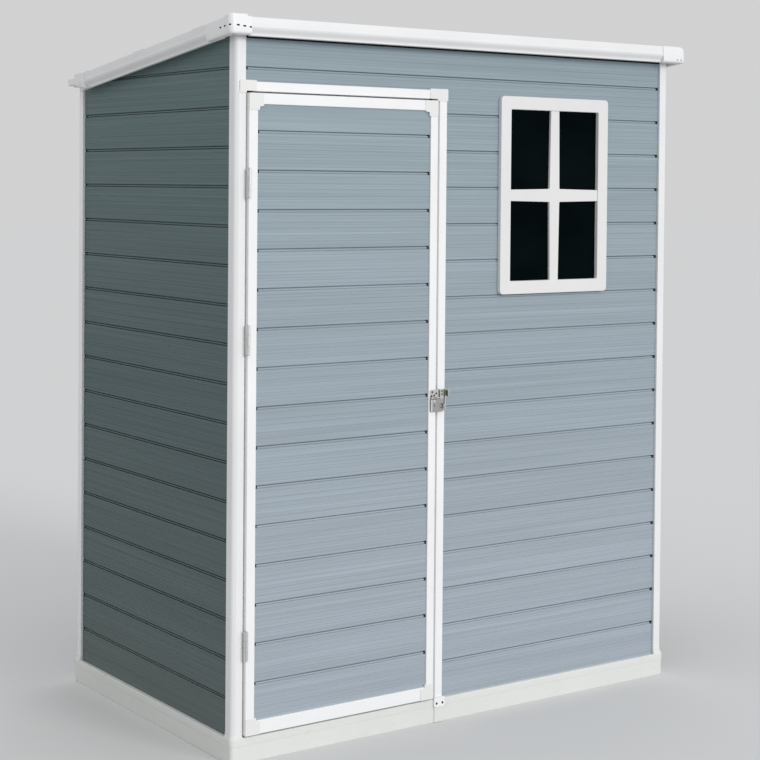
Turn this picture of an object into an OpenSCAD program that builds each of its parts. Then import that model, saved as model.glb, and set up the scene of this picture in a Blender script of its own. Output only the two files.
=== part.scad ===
// Resin storage shed, 5 x 3 ft class, with a pent roof that falls to the back.
// +X runs to the right along the front, +Y to the back, +Z up.
// The origin is on the ground, in the middle of the shed's overall box.

/* [Walls] */
// Width across the corner posts
shed_w = 1494; // [1200:1:2400]
// Depth across the corner posts
shed_d = 908; // [800:1:1600]
// Height of the front wall's top above the ground, at its outer face
front_h = 1855; // [1820:1:2100]
// Fall of the roof, in degrees
roof_fall = 7; // [3:0.5:9]
// Thickness of the twin-wall panels
wall_t = 20; // [14:1:20]

/* [Corner posts] */
// Side of a corner post
post_s = 31; // [31:1:36]
// How far a post stands out from the wall panels
post_proud = 7; // [3:1:8]
// Radius of a post's outer corner
post_r = 11; // [5:1:14]

/* [Base] */
// Height of the base rails
base_h = 65; // [50:1:90]
// How far the base rails stand out from the wall panels
base_proud = 12; // [9:1:14]
// Width of a base rail, from its outer face
base_rail_w = 48; // [40:1:60]
// How far the floor lies below the top of the base rails
floor_drop = 15; // [8:1:30]
// Gap between the tops of the walls and the roof panel that rests on them
roof_seat = 0.2; // [0.1:0.1:0.5]

/* [Doorway] */
// From the wall's left face to the left jamb's outer edge, negative to the left
jamb_start = -4; // [-6:0.5:0]
// Width of the left jamb, at the hinges
jamb_w = 28; // [26:0.5:32]
// Width of the right jamb, at the lock
lock_jamb_w = 32; // [28:0.5:40]
// How far the door frame stands out from the wall panels
frame_proud = 9; // [9:1:12]
// Height of the wall above the header, at its outer face
over_door_h = 128; // [100:1:200]
// Height of the header bar
header_h = 23; // [18:1:30]
// Length of an arm of the header's corner fittings
header_fitting_l = 58; // [50:1:70]
// How far a corner fitting stands out from the bars that it joins
fitting_proud = 1.5; // [1:0.1:2]
// Gap between the door leaf and the header
door_top_gap = 6; // [6:0.5:8]
// Gap between the door leaf and the left jamb
door_side_gap = 5; // [5:0.5:6]
// Gap between the door leaf and the right jamb
door_lock_gap = 6; // [5:0.5:8]
// Gap between the door leaf and the base rail
door_foot_gap = 9; // [7:0.5:12]

/* [Door leaf] */
// Width of the door leaf
leaf_w = 591; // [500:1:700]
// How far the door leaf stands out from the wall panels
leaf_proud = 19; // [17:1:24]
// Thickness of the door leaf
leaf_t = 28; // [24:1:32]
// Width of a door stile
stile_w = 24; // [20:1:34]
// Height of a door rail
rail_h = 32; // [24:1:40]
// Thickness of the door's panel
leaf_panel_t = 20; // [14:1:20]
// Length of an arm of the door leaf's corner fittings
leaf_fitting_l = 46; // [44:1:60]

/* [Window] */
// Width of the window frame
window_w = 399; // [300:1:440]
// Height of the window frame
window_h = 555; // [400:1:600]
// Distance from the right wall's outer face to the frame's right side
window_inset = 235; // [180:1:260]
// Distance from the door header's top down to the frame's top
window_drop = 7; // [0:1:60]
// Width of the frame's border
window_border = 37; // [28:1:45]
// How far the frame stands out from the wall
window_proud = 12; // [8:1:16]
// How far the frame laps over the wall
window_lap = 15; // [10:1:20]
// Radius of the frame's outer corners
window_r = 12; // [5:1:20]
// Thickness of the window sheet
pane_t = 4; // [2:0.5:5]
// Thickness of the inner trim's flange
inner_trim_t = 5; // [3:1:8]

/* [Roof] */
// Thickness of the roof panel
roof_t = 20; // [14:1:24]
// Roof's overhang at the front, from the wall's outer face
over_front = 45; // [40:1:60]
// Roof's overhang at each side, from the wall's outer face
over_side = 44; // [40:1:60]
// Roof's overhang at the back, from the wall's outer face
over_back = 6.5; // [5.5:0.5:12]
// Thickness of the front and side fascias
fascia_t = 20; // [18:1:24]
// Thickness of the back fascia
back_fascia_t = 5; // [3:0.5:5.5]
// Height of a fascia's upright band
fascia_band = 24; // [20:1:30]
// How far a fascia's outer face turns in below its band
fascia_turn_in = 14; // [8:1:16]
// How far the fascia reaches below the roof panel
fascia_below = 20; // [15:1:30]
// How far the fascia reaches above the roof panel
fascia_above = 6; // [4:1:12]
// Length of a corner cap's arm
cap_l = 62; // [50:1:80]
// How far a corner cap stands out from the fascia
cap_proud = 1.5; // [1:0.5:4]
// How far the front left cap stands above the fascia
cap_rise = 6; // [1:0.5:8]

/* [Hinges] */
// Length of a hinge
hinge_l = 74; // [60:1:90]
// Outer radius of a hinge knuckle
knuckle_r = 4; // [3.5:0.1:4.2]
// Radius of a hinge pin
pin_r = 1.8; // [1.5:0.1:2]
// Depth of a hinge leaf behind its pin
hinge_leaf_d = 30; // [24:1:32]
// Thickness of a hinge leaf
hinge_leaf_t = 1.5; // [1:0.1:1.6]
// Distance from an end of the door leaf to the middle of its outer hinge
hinge_inset = 227; // [100:1:300]
// Distance between the middles of the upper two hinges
hinge_drop = 396; // [200:1:600]

/* [Hasp] */
// Height of the hasp's pin above the ground
hasp_z = 892; // [700:1:1100]
// Height of the hasp's fixed plate above its pin
hasp_base_h = 23; // [18:1:30]
// Length of the hasp's flap below its pin
hasp_flap_h = 37; // [34:1:42]
// Thickness of the hasp's plates
hasp_t = 2; // [1.5:0.1:2.2]
// Distance from the staple's middle up to the hasp's pin
staple_drop = 21; // [20:0.5:24]
// How far the staple stands out from its plate
staple_l = 16; // [14:0.5:18]

/* [Hidden] */

white = [0.93, 0.94, 0.94];
board = [0.63, 0.69, 0.73];
metal = [0.62, 0.63, 0.64];
dark = [0.06, 0.08, 0.09];

// Plan: wall faces, and the middle of the overall box as the origin
wall_x = shed_w / 2 - post_proud;          // outer face of the side walls
body_d = shed_d - 2 * post_proud;          // depth across the wall faces
slope_l = body_d / cos(roof_fall);         // the same, along the roof's slope

// Roof edges: heights are square to the roof, from its underside
fascia_low = -fascia_below;
fascia_high = roof_t + fascia_above;
fascia_turn = fascia_high - fascia_band;   // where the upright band ends
cap_front_y = min(
    fascia_turn * sin(roof_fall) - (over_front + cap_proud) * cos(roof_fall),
    (fascia_low - cap_proud) * sin(roof_fall) - (over_front + cap_proud - fascia_turn_in) * cos(roof_fall)
);
cap_back_y = (over_back + cap_proud) * cos(roof_fall) + (fascia_high + cap_proud) * sin(roof_fall);
front_y = -(body_d + cap_back_y + cap_front_y) / 2;
back_y = front_y + body_d;
post_in = post_s - post_proud;             // a post's inner face, from the wall's outer face

// Heights
function wall_top(y) = front_h - roof_seat - (y - front_y) * tan(roof_fall);

// Doorway
frame_y = front_y - frame_proud;           // front face of the door frame
leaf_y = front_y - leaf_proud;             // front face of the door leaf
jamb_l_x0 = -wall_x + jamb_start;
jamb_l_x1 = jamb_l_x0 + jamb_w;
leaf_x0 = jamb_l_x1 + door_side_gap;
leaf_x1 = leaf_x0 + leaf_w;
jamb_r_x0 = leaf_x1 + door_lock_gap;
jamb_r_x1 = jamb_r_x0 + lock_jamb_w;
header_z1 = front_h - over_door_h;
header_z0 = header_z1 - header_h;
leaf_z0 = base_h + door_foot_gap;
leaf_z1 = header_z0 - door_top_gap;
door_y1 = leaf_y + leaf_t;                 // back face of the door leaf

// Jamb foot
foot_lap = 4;                              // how far it is wider than the jamb
foot_h = 22;
foot_t = 9;
foot_hole_r = 3.2;
foot_hole_inset = 8;

// Corner fittings on the leaf reach this far past the bars' inner edges
fitting_lap = 4;

// Hinges: the pin lies just in front of the gap between jamb and leaf
knuckle_stand = 0.5;                       // from a knuckle to the leaf's front face
hinge_x = (jamb_l_x1 + leaf_x0) / 2;
hinge_y = leaf_y - knuckle_r - knuckle_stand;
hinge_z = [leaf_z0 + hinge_inset, leaf_z1 - hinge_inset - hinge_drop, leaf_z1 - hinge_inset];
pin_clear = 0.05;
knuckle_gap = 0.6;
hinge_share = 0.3;                         // share of a hinge's length in each frame knuckle

// Hasp, on the right stile and the right jamb
hasp_plate_w = 28;
hasp_reach = 8;                            // how far the plate and the pin reach past the leaf's edge
hasp_pin_x1 = leaf_x1 + hasp_reach;
hasp_x0 = hasp_pin_x1 - hasp_plate_w;
hasp_third = hasp_plate_w / 3;             // length of one of the three knuckles
hasp_knuckle_r = 2.6;
hasp_knuckle_gap = 0.3;
hasp_pin_r = 1.1;
hasp_y = leaf_y - hasp_t - hasp_knuckle_r;    // the flap's pin
catch_x0 = jamb_r_x0 + 7;
catch_x1 = jamb_r_x1 - 4;
ear_t = 2;
ear_d = 14;
ear_drop = 3;                              // from the pin's height up to the ear's foot
flap_x1 = catch_x1 - ear_t - 5;
flap_top = hasp_z - hasp_knuckle_r - 0.6;
flap_slot_w = 7;
flap_slot_h = 18;
flap_slot_z = hasp_z - staple_drop - 1;    // middle of the slot, below the staple's for its arc
staple_w = 4;
staple_h = 8;
staple_hole_r = 2.6;
staple_hole_inset = 5;                     // from the staple's end to its hole's middle
staple_x = catch_x0 + staple_w;

// Window
window_x1 = wall_x - window_inset;
window_x0 = window_x1 - window_w;
window_z = header_z1 - window_drop - window_h;

// A box from its lowest to its highest corner
module span(a, b) {
    translate(a) cube(b - a);
}

// A prism along X with an outline in Y and Z
module along_x(x0, x1) {
    translate([x0, 0, 0]) rotate([90, 0, 90]) linear_extrude(x1 - x0) children();
}

// A prism along Y with an outline in X and Z
module along_y(y0, y1) {
    translate([0, y1, 0]) rotate([90, 0, 0]) linear_extrude(y1 - y0) children();
}

// A box whose top carries the roof panel
module under_roof(x0, x1, y0, y1, z0) {
    along_x(x0, x1) polygon([[y0, z0], [y1, z0], [y1, wall_top(y1)], [y0, wall_top(y0)]]);
}

// A flat frame that lies in the front's plane: rounded outside, square inside
module ring(w, h, border, t, r) {
    rotate([90, 0, 0]) linear_extrude(t) difference() {
        rounded(w, h, r);
        translate([border, border]) square([w - 2 * border, h - 2 * border]);
    }
}

module rounded(w, h, r) {
    translate([r, 0]) square([w - 2 * r, h]);
    translate([0, r]) square([w, h - 2 * r]);
    for (x = [r, w - r], y = [r, h - r]) translate([x, y]) circle(r, $fn = 48);
}

// ---- Base ----

module floor_panel() {
    color(white) span(
        [-wall_x - base_proud + base_rail_w, front_y - base_proud + base_rail_w, 0],
        [wall_x + base_proud - base_rail_w, back_y + base_proud - base_rail_w, base_h - floor_drop]
    );
}

module base_rail_cross(y0) {
    color(white) span(
        [-wall_x - base_proud, y0, 0], [wall_x + base_proud, y0 + base_rail_w, base_h]
    );
}

module base_rail_front() { base_rail_cross(front_y - base_proud); }

module base_rail_back() { base_rail_cross(back_y + base_proud - base_rail_w); }

module base_rail_side(x0) {
    color(white) span(
        [x0, front_y - base_proud + base_rail_w, 0],
        [x0 + base_rail_w, back_y + base_proud - base_rail_w, base_h]
    );
}

module base_rail_left() { base_rail_side(-wall_x - base_proud); }

module base_rail_right() { base_rail_side(wall_x + base_proud - base_rail_w); }

// ---- Corner posts ----

// A square post with its outer corner rounded, cut off at the roof's slope.
// side is -1 on the left and 1 on the right, end is -1 at the front and 1 at the back.
module post(side, end) {
    corner = [side * (wall_x + post_proud), end < 0 ? front_y - post_proud : back_y + post_proud];
    y0 = min(corner[1], corner[1] - end * post_s);
    color(white) intersection() {
        translate([corner[0], corner[1], base_h])
            linear_extrude(front_h)
                mirror([side < 0 ? 0 : 1, 0])
                    mirror([0, end < 0 ? 0 : 1])
                        post_outline();
        under_roof(-shed_w, shed_w, y0 - 1, y0 + post_s + 1, 0);
    }
}

module post_outline() {
    translate([post_r, 0]) square([post_s - post_r, post_s]);
    translate([0, post_r]) square([post_s, post_s - post_r]);
    translate([post_r, post_r]) circle(post_r, $fn = 48);
}

module post_front_left() { post(-1, -1); }

module post_front_right() { post(1, -1); }

module post_back_left() { post(-1, 1); }

module post_back_right() { post(1, 1); }

// ---- Walls ----

module wall_left() {
    color(board)
        under_roof(-wall_x, -wall_x + wall_t, front_y + post_in, back_y - post_in, base_h);
}

module wall_right() {
    color(board)
        under_roof(wall_x - wall_t, wall_x, front_y + post_in, back_y - post_in, base_h);
}

module wall_back() {
    color(board)
        under_roof(-wall_x + post_in, wall_x - post_in, back_y - wall_t, back_y, base_h);
}

module front_wall_over_door() {
    color(board)
        under_roof(-wall_x + post_in, jamb_r_x1, front_y, front_y + wall_t, header_z1);
}

module front_wall_right() {
    color(board) difference() {
        under_roof(jamb_r_x1, wall_x - post_in, front_y, front_y + wall_t, base_h);
        span(
            [window_x0 + window_lap, front_y - 1, window_z + window_lap],
            [window_x1 - window_lap, front_y + wall_t + 1, window_z + window_h - window_lap]
        );
    }
}

// ---- Window ----

module window_frame() {
    color(white) translate([window_x0, front_y, window_z])
        ring(window_w, window_h, window_border, window_proud, window_r);
}

module window_pane() {
    color(dark) span(
        [window_x0 + window_lap, front_y, window_z + window_lap],
        [window_x1 - window_lap, front_y + pane_t, window_z + window_h - window_lap]
    );
}

// A sleeve that fills the cut-out behind the pane, and a flange on the wall's inner face
module window_inner_trim() {
    color(white) {
        translate([window_x0 + window_lap, front_y + wall_t, window_z + window_lap])
            ring(
                window_w - 2 * window_lap, window_h - 2 * window_lap,
                window_border - window_lap, wall_t - pane_t, 0.01
            );
        translate([window_x0, front_y + wall_t + inner_trim_t, window_z])
            ring(window_w, window_h, window_border, inner_trim_t, window_r);
    }
}

// ---- Door frame ----

module door_header() {
    color(white) span(
        [jamb_l_x0 + header_fitting_l, frame_y, header_z0],
        [jamb_r_x1 - header_fitting_l, front_y + wall_t, header_z1]
    );
}

// The left jamb is a strip on the corner post's front face
module door_jamb_left() {
    color(white) span(
        [jamb_l_x0, frame_y, base_h], [jamb_l_x1, front_y - post_proud, header_z0]
    );
}

// The right jamb is a channel that closes the edge of the front wall
module door_jamb_right() {
    color(white) span(
        [jamb_r_x0, frame_y, base_h], [jamb_r_x1, front_y + wall_t, header_z0]
    );
}

// The fittings that close the ends of the header over the jambs
module header_fitting_left() {
    color(white) {
        span(
            [jamb_l_x0, frame_y - fitting_proud, header_z0],
            [jamb_l_x0 + header_fitting_l, front_y - post_proud, header_z1]
        );
        span(
            [-wall_x + post_in, front_y - post_proud, header_z0],
            [jamb_l_x0 + header_fitting_l, front_y + wall_t, header_z1]
        );
    }
}

module header_fitting_right() {
    color(white) span(
        [jamb_r_x1 - header_fitting_l, frame_y - fitting_proud, header_z0],
        [jamb_r_x1, front_y + wall_t, header_z1]
    );
}

// A bracket that fastens the right jamb to the base rail
module jamb_foot() {
    foot_w = lock_jamb_w + foot_lap;
    color(white) difference() {
        span(
            [jamb_r_x0, front_y - base_proud - foot_t, base_h - foot_h],
            [jamb_r_x0 + foot_w, front_y - base_proud, base_h]
        );
        for (x = [foot_hole_inset, foot_w - foot_hole_inset])
            translate([jamb_r_x0 + x, front_y - base_proud + 1, base_h - foot_h / 2])
                rotate([90, 0, 0]) cylinder(h = foot_t + 2, r = foot_hole_r, $fn = 32);
    }
}

// ---- Door leaf ----

module door_stile(x0) {
    color(white) span([x0, leaf_y, leaf_z0], [x0 + stile_w, door_y1, leaf_z1]);
}

module door_stile_left() { door_stile(leaf_x0); }

module door_stile_right() { door_stile(leaf_x1 - stile_w); }

module door_rail(z0) {
    color(white)
        span([leaf_x0 + stile_w, leaf_y, z0], [leaf_x1 - stile_w, door_y1, z0 + rail_h]);
}

module door_rail_top() { door_rail(leaf_z1 - rail_h); }

module door_rail_bottom() { door_rail(leaf_z0); }

module door_panel() {
    y0 = leaf_y + (leaf_t - leaf_panel_t) / 2;
    color(board) span(
        [leaf_x0 + stile_w, y0, leaf_z0 + rail_h],
        [leaf_x1 - stile_w, y0 + leaf_panel_t, leaf_z1 - rail_h]
    );
}

// Flat elbows on the front of the leaf, over the joints of stiles and rails
module door_corner_fittings() {
    arm_x = stile_w + fitting_lap;
    arm_z = rail_h + fitting_lap;
    color(white)
        for (side = [0, 1], end = [0, 1])
            translate([side ? leaf_x1 : leaf_x0, 0, end ? leaf_z1 : leaf_z0])
                mirror([side, 0, 0])
                    mirror([0, 0, end]) {
                        span([0, leaf_y - fitting_proud, 0], [arm_x, leaf_y, leaf_fitting_l]);
                        span([0, leaf_y - fitting_proud, 0], [leaf_fitting_l, leaf_y, arm_z]);
                    }
}

// ---- Hinges ----

// A knuckle with its bore, from height z0 to z1
module knuckle(z0, z1) {
    translate([hinge_x, hinge_y, z0]) cylinder(h = z1 - z0, r = knuckle_r, $fn = 48);
}

module pin_bore(z) {
    translate([hinge_x, hinge_y, z - hinge_l])
        cylinder(h = 2 * hinge_l, r = pin_r + pin_clear, $fn = 48);
}

module hinge_frame_leaves() {
    share = hinge_share * hinge_l;
    x0 = jamb_l_x1;
    x1 = x0 + hinge_leaf_t;
    y1 = hinge_y + hinge_leaf_d;
    color(metal) for (z = hinge_z) {
        low = z - hinge_l / 2;
        high = z + hinge_l / 2;
        difference() {
            union() {
                knuckle(low, low + share);
                knuckle(high - share, high);
                span([x0, hinge_y, low], [x1, y1, low + share]);
                span([x0, hinge_y, high - share], [x1, y1, high]);
                span([x0, leaf_y, low], [x1, y1, high]);
            }
            pin_bore(z);
        }
    }
}

module hinge_door_leaves() {
    share = hinge_share * hinge_l + knuckle_gap;
    x0 = leaf_x0 - hinge_leaf_t;
    x1 = leaf_x0;
    y1 = hinge_y + hinge_leaf_d;
    color(metal) for (z = hinge_z) {
        low = z - hinge_l / 2;
        high = z + hinge_l / 2;
        difference() {
            union() {
                knuckle(low + share, high - share);
                span([x0, hinge_y, low + share], [x1, y1, high - share]);
                span([x0, leaf_y, low], [x1, y1, high]);
            }
            pin_bore(z);
        }
    }
}

module hinge_pins() {
    color(metal) for (z = hinge_z)
        translate([hinge_x, hinge_y, z - hinge_l / 2]) cylinder(h = hinge_l, r = pin_r, $fn = 48);
}

// ---- Hasp ----

module hasp_barrel(x0, x1) {
    translate([x0, hasp_y, hasp_z]) rotate([0, 90, 0])
        cylinder(h = x1 - x0, r = hasp_knuckle_r, $fn = 40);
}

module hasp_bore() {
    translate([hasp_x0 - 1, hasp_y, hasp_z]) rotate([0, 90, 0])
        cylinder(h = hasp_pin_x1 - hasp_x0 + 2, r = hasp_pin_r + pin_clear, $fn = 40);
}

// The fixed plate on the door's stile, with the outer two knuckles
module hasp_base() {
    color(metal) difference() {
        union() {
            span([hasp_x0, leaf_y - hasp_t, hasp_z], [hasp_pin_x1, leaf_y, hasp_z + hasp_base_h]);
            for (x = [hasp_x0, hasp_pin_x1 - hasp_third]) {
                hasp_barrel(x, x + hasp_third);
                span([x, hasp_y, hasp_z], [x + hasp_third, leaf_y, hasp_z + hasp_knuckle_r]);
            }
        }
        hasp_bore();
    }
}

// The flap hangs from the pin and reaches over the jamb, where the staple passes its slot
module hasp_flap() {
    knuckle_x0 = hasp_x0 + hasp_third + hasp_knuckle_gap;
    knuckle_x1 = hasp_pin_x1 - hasp_third - hasp_knuckle_gap;
    y0 = hasp_y - hasp_t / 2;
    y1 = hasp_y + hasp_t / 2;
    color(metal) difference() {
        union() {
            hasp_barrel(knuckle_x0, knuckle_x1);
            span([knuckle_x0, y0, flap_top], [knuckle_x1, y1, hasp_z]);
            span([hasp_x0, y0, hasp_z - hasp_flap_h], [flap_x1, y1, flap_top]);
        }
        hasp_bore();
        span(
            [staple_x - flap_slot_w / 2, y0 - 1, flap_slot_z - flap_slot_h / 2],
            [staple_x + flap_slot_w / 2, y1 + 1, flap_slot_z + flap_slot_h / 2]
        );
    }
}

module hasp_pin() {
    color(metal) translate([hasp_x0, hasp_y, hasp_z]) rotate([0, 90, 0])
        cylinder(h = hasp_pin_x1 - hasp_x0, r = hasp_pin_r, $fn = 40);
}

// The block on the jamb that brings its plate level with the leaf, with the staple and an ear
module hasp_catch() {
    plate_y = leaf_y - hasp_t;
    color(metal) difference() {
        union() {
            span(
                [catch_x0, plate_y, hasp_z - hasp_flap_h],
                [catch_x1, frame_y, hasp_z + hasp_base_h]
            );
            span(
                [staple_x - staple_w / 2, plate_y - staple_l, hasp_z - staple_drop - staple_h / 2],
                [staple_x + staple_w / 2, plate_y, hasp_z - staple_drop + staple_h / 2]
            );
            span(
                [catch_x1 - ear_t, plate_y - ear_d, hasp_z + ear_drop],
                [catch_x1, plate_y, hasp_z + hasp_base_h]
            );
        }
        translate([staple_x - staple_w, plate_y - staple_l + staple_hole_inset, hasp_z - staple_drop])
            rotate([0, 90, 0]) cylinder(h = 2 * staple_w, r = staple_hole_r, $fn = 32);
    }
}

// ---- Roof ----

// The roof's frame: Y runs down the slope from the front wall's top, Z is square to the roof
module on_roof() {
    translate([0, front_y, front_h]) rotate([-roof_fall, 0, 0]) children();
}

// A corner of the walls in the roof's frame, with X and Y turned outward.
// side is -1 on the left and 1 on the right, end is -1 at the front and 1 at the back.
module at_corner(side, end) {
    on_roof() translate([side * wall_x, end < 0 ? 0 : slope_l, 0])
        mirror([side < 0 ? 1 : 0, 0, 0]) mirror([0, end < 0 ? 1 : 0, 0]) children();
}

// Outline of a roof edge that reaches over from the wall: an upright band, then a face that turns in.
// grow is how far it stands out, and rise how far it stands up.
module edge_outline(over, depth, grow = 0, rise = 0) {
    polygon([
        [over - depth, fascia_low - grow], [over + grow - fascia_turn_in, fascia_low - grow],
        [over + grow, fascia_turn], [over + grow, fascia_high + rise], [over - depth, fascia_high + rise]
    ]);
}

module roof_panel() {
    color(white) on_roof() span(
        [fascia_t - over_side - wall_x, fascia_t - over_front, 0],
        [wall_x + over_side - fascia_t, slope_l + over_back - back_fascia_t, roof_t]
    );
}

module fascia_front() {
    color(white) at_corner(1, -1)
        along_x(cap_l - over_side - 2 * wall_x, over_side - cap_l)
            edge_outline(over_front, fascia_t);
}

module fascia_back() {
    color(white) at_corner(1, 1)
        along_x(cap_l - over_side - 2 * wall_x, over_side - cap_l)
            translate([over_back - back_fascia_t, 0])
                square([back_fascia_t, fascia_high]);
}

module fascia_side(side) {
    color(white) at_corner(side, 1)
        along_y(cap_l - over_front - slope_l, over_back - cap_l)
            edge_outline(over_side, fascia_t);
}

module fascia_left() { fascia_side(-1); }

module fascia_right() { fascia_side(1); }

// A cap that joins the front fascia to a side fascia: one arm along each, a little proud of both
module roof_cap_front(side, rise) {
    color(white) at_corner(side, -1) difference() {
        intersection() {
            along_x(over_side - cap_l, over_side + cap_proud)
                edge_outline(over_front, cap_l, cap_proud, rise);
            along_y(over_front - cap_l, over_front + cap_proud)
                edge_outline(over_side, cap_l, cap_proud, rise);
        }
        span(
            [over_side - cap_l - 1, over_front - cap_l - 1, fascia_low - cap_proud - 1],
            [over_side - fascia_t, over_front - fascia_t, fascia_high + rise + 1]
        );
    }
}

// A cap at the back: one arm along the side fascia, and one along the back fascia, over the posts
module roof_cap_back(side) {
    color(white) at_corner(side, 1) {
        along_y(over_back - cap_l, over_back + cap_proud)
            edge_outline(over_side, fascia_t, cap_proud, cap_proud);
        span(
            [over_side - cap_l, over_back - back_fascia_t, 0],
            [over_side - fascia_t, over_back + cap_proud, fascia_high + cap_proud]
        );
    }
}

module roof_cap_front_left() { roof_cap_front(-1, cap_rise); }

module roof_cap_front_right() { roof_cap_front(1, cap_proud); }

module roof_cap_back_left() { roof_cap_back(-1); }

module roof_cap_back_right() { roof_cap_back(1); }

floor_panel();
base_rail_front();
base_rail_back();
base_rail_left();
base_rail_right();
post_front_left();
post_front_right();
post_back_left();
post_back_right();
wall_left();
wall_right();
wall_back();
front_wall_over_door();
front_wall_right();
window_frame();
window_pane();
window_inner_trim();
door_header();
door_jamb_left();
door_jamb_right();
header_fitting_left();
header_fitting_right();
jamb_foot();
door_panel();
door_stile_left();
door_stile_right();
door_rail_top();
door_rail_bottom();
door_corner_fittings();
hinge_frame_leaves();
hinge_door_leaves();
hinge_pins();
hasp_base();
hasp_flap();
hasp_pin();
hasp_catch();
roof_panel();
fascia_front();
fascia_back();
fascia_left();
fascia_right();
roof_cap_front_left();
roof_cap_front_right();
roof_cap_back_left();
roof_cap_back_right();
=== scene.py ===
"""Resin storage shed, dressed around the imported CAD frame.

Lengths are in millimetres until make() scales a mesh to metres. Shaders work in metres.
"""

import math

import bmesh
import bpy
from mathutils import Matrix, Vector


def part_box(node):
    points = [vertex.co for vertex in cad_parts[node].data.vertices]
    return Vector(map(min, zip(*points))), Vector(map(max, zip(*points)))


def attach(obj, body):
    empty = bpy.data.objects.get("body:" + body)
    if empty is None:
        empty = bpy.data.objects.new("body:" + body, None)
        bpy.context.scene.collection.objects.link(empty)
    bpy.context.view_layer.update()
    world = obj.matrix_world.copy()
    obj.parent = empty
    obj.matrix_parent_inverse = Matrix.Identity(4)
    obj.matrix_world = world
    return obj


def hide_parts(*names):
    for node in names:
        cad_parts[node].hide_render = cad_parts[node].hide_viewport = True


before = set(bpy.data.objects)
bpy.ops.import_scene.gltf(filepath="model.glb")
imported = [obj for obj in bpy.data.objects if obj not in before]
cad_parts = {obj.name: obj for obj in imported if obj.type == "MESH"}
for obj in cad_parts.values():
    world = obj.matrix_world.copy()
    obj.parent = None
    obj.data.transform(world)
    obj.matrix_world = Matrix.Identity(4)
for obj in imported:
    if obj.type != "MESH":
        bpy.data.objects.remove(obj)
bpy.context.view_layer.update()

MM = 0.001
SHELL, DOOR, FLAP = "shell", "door", "flap"


def box(node):
    lo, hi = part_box(node)
    return lo / MM, hi / MM


# ---- Measures: sizes that the CAD source has too, and places read from its nodes ----

FALL = math.radians(7)  # of the roof, to the back
WALL_T = 20
POST_PROUD, POST_S, POST_R = 7, 31, 11  # how far a post stands out, its side and its outer radius
ROOF_T = 20
ROOF_LOW, ROOF_HIGH = -20, 26  # edges of the fascias, from the roof's underside
OVER_SIDE, OVER_FRONT, OVER_BACK = 44, 45, 6.5
CAP_L = 62
FASCIA_T, BACK_T = 20, 5

front_lo, front_hi = box("front_wall_right")
back_lo, back_hi = box("wall_back")
over_lo, over_hi = box("front_wall_over_door")
WALL_X = box("wall_right")[1].x
FRONT_Y, BACK_Y = front_lo.y, back_hi.y
BASE_H = front_lo.z
ROOF_SEAT, ROOF_GAP = 0.2, 0.3  # from the roof's underside to the CAD walls and the boards
FRONT_H = front_hi.z + ROOF_SEAT
SLOPE_L = (BACK_Y - FRONT_Y) / math.cos(FALL)
jl_lo, jl_hi = box("door_jamb_left")
jr_lo, jr_hi = box("door_jamb_right")
FRAME_Y = jl_lo.y
head_lo, head_hi = box("door_header")
dp_lo, dp_hi = box("door_panel")
sl_lo, sl_hi = box("door_stile_left")
LEAF_Y = sl_lo.y
win_lo, win_hi = box("window_frame")
pane_lo, pane_hi = box("window_pane")


# ---- Materials ----

def principled(name):
    m = bpy.data.materials.new(name)
    m.use_nodes = True
    return m, m.node_tree, m.node_tree.nodes["Principled BSDF"]


def node(t, kind, **values):
    n = t.nodes.new(kind)
    for k, v in values.items():
        if k in n.inputs:
            n.inputs[k].default_value = v
        else:
            setattr(n, k, v)
    return n


def noise(t, coord, size, detail, rough=0.55, scale=(1, 1, 1)):
    """A noise texture on given coordinates, each of them first multiplied by scale."""
    m = node(t, "ShaderNodeMapping", Scale=scale)
    t.links.new(coord, m.inputs["Vector"])
    n = node(t, "ShaderNodeTexNoise", Scale=size, Detail=detail, Roughness=rough)
    t.links.new(m.outputs["Vector"], n.inputs["Vector"])
    return n.outputs["Fac"]


def remap(t, value, lo, hi, a=0.0, b=1.0):
    n = node(t, "ShaderNodeMapRange", **{"From Min": lo, "From Max": hi, "To Min": a, "To Max": b})
    t.links.new(value, n.inputs["Value"])
    return n.outputs["Result"]


def mix(t, fac, a, b, blend="MIX"):
    n = node(t, "ShaderNodeMix", data_type="RGBA", blend_type=blend)
    for socket, v in ((n.inputs[0], fac), (n.inputs[6], a), (n.inputs[7], b)):
        if isinstance(v, bpy.types.NodeSocket):
            t.links.new(v, socket)
        else:
            socket.default_value = v if not isinstance(v, tuple) else (*v, 1.0)[:4]
    return n.outputs[2]


def bump(t, height, strength, distance, normal=None):
    n = node(t, "ShaderNodeBump", Strength=strength, Distance=distance)
    t.links.new(height, n.inputs["Height"])
    if normal is not None:
        t.links.new(normal, n.inputs["Normal"])
    return n.outputs["Normal"]


PAINTED_LIGHT_LOW, PAINTED_LIGHT_MIDDLE, PAINTED_LIGHT_HIGH = 0.1, 0.95, 1.8  # heights of the stops of the boards' painted light and shade, in metres


def scaled(tone, k):
    return tuple(min(1.0, v * k) for v in tone)


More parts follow.
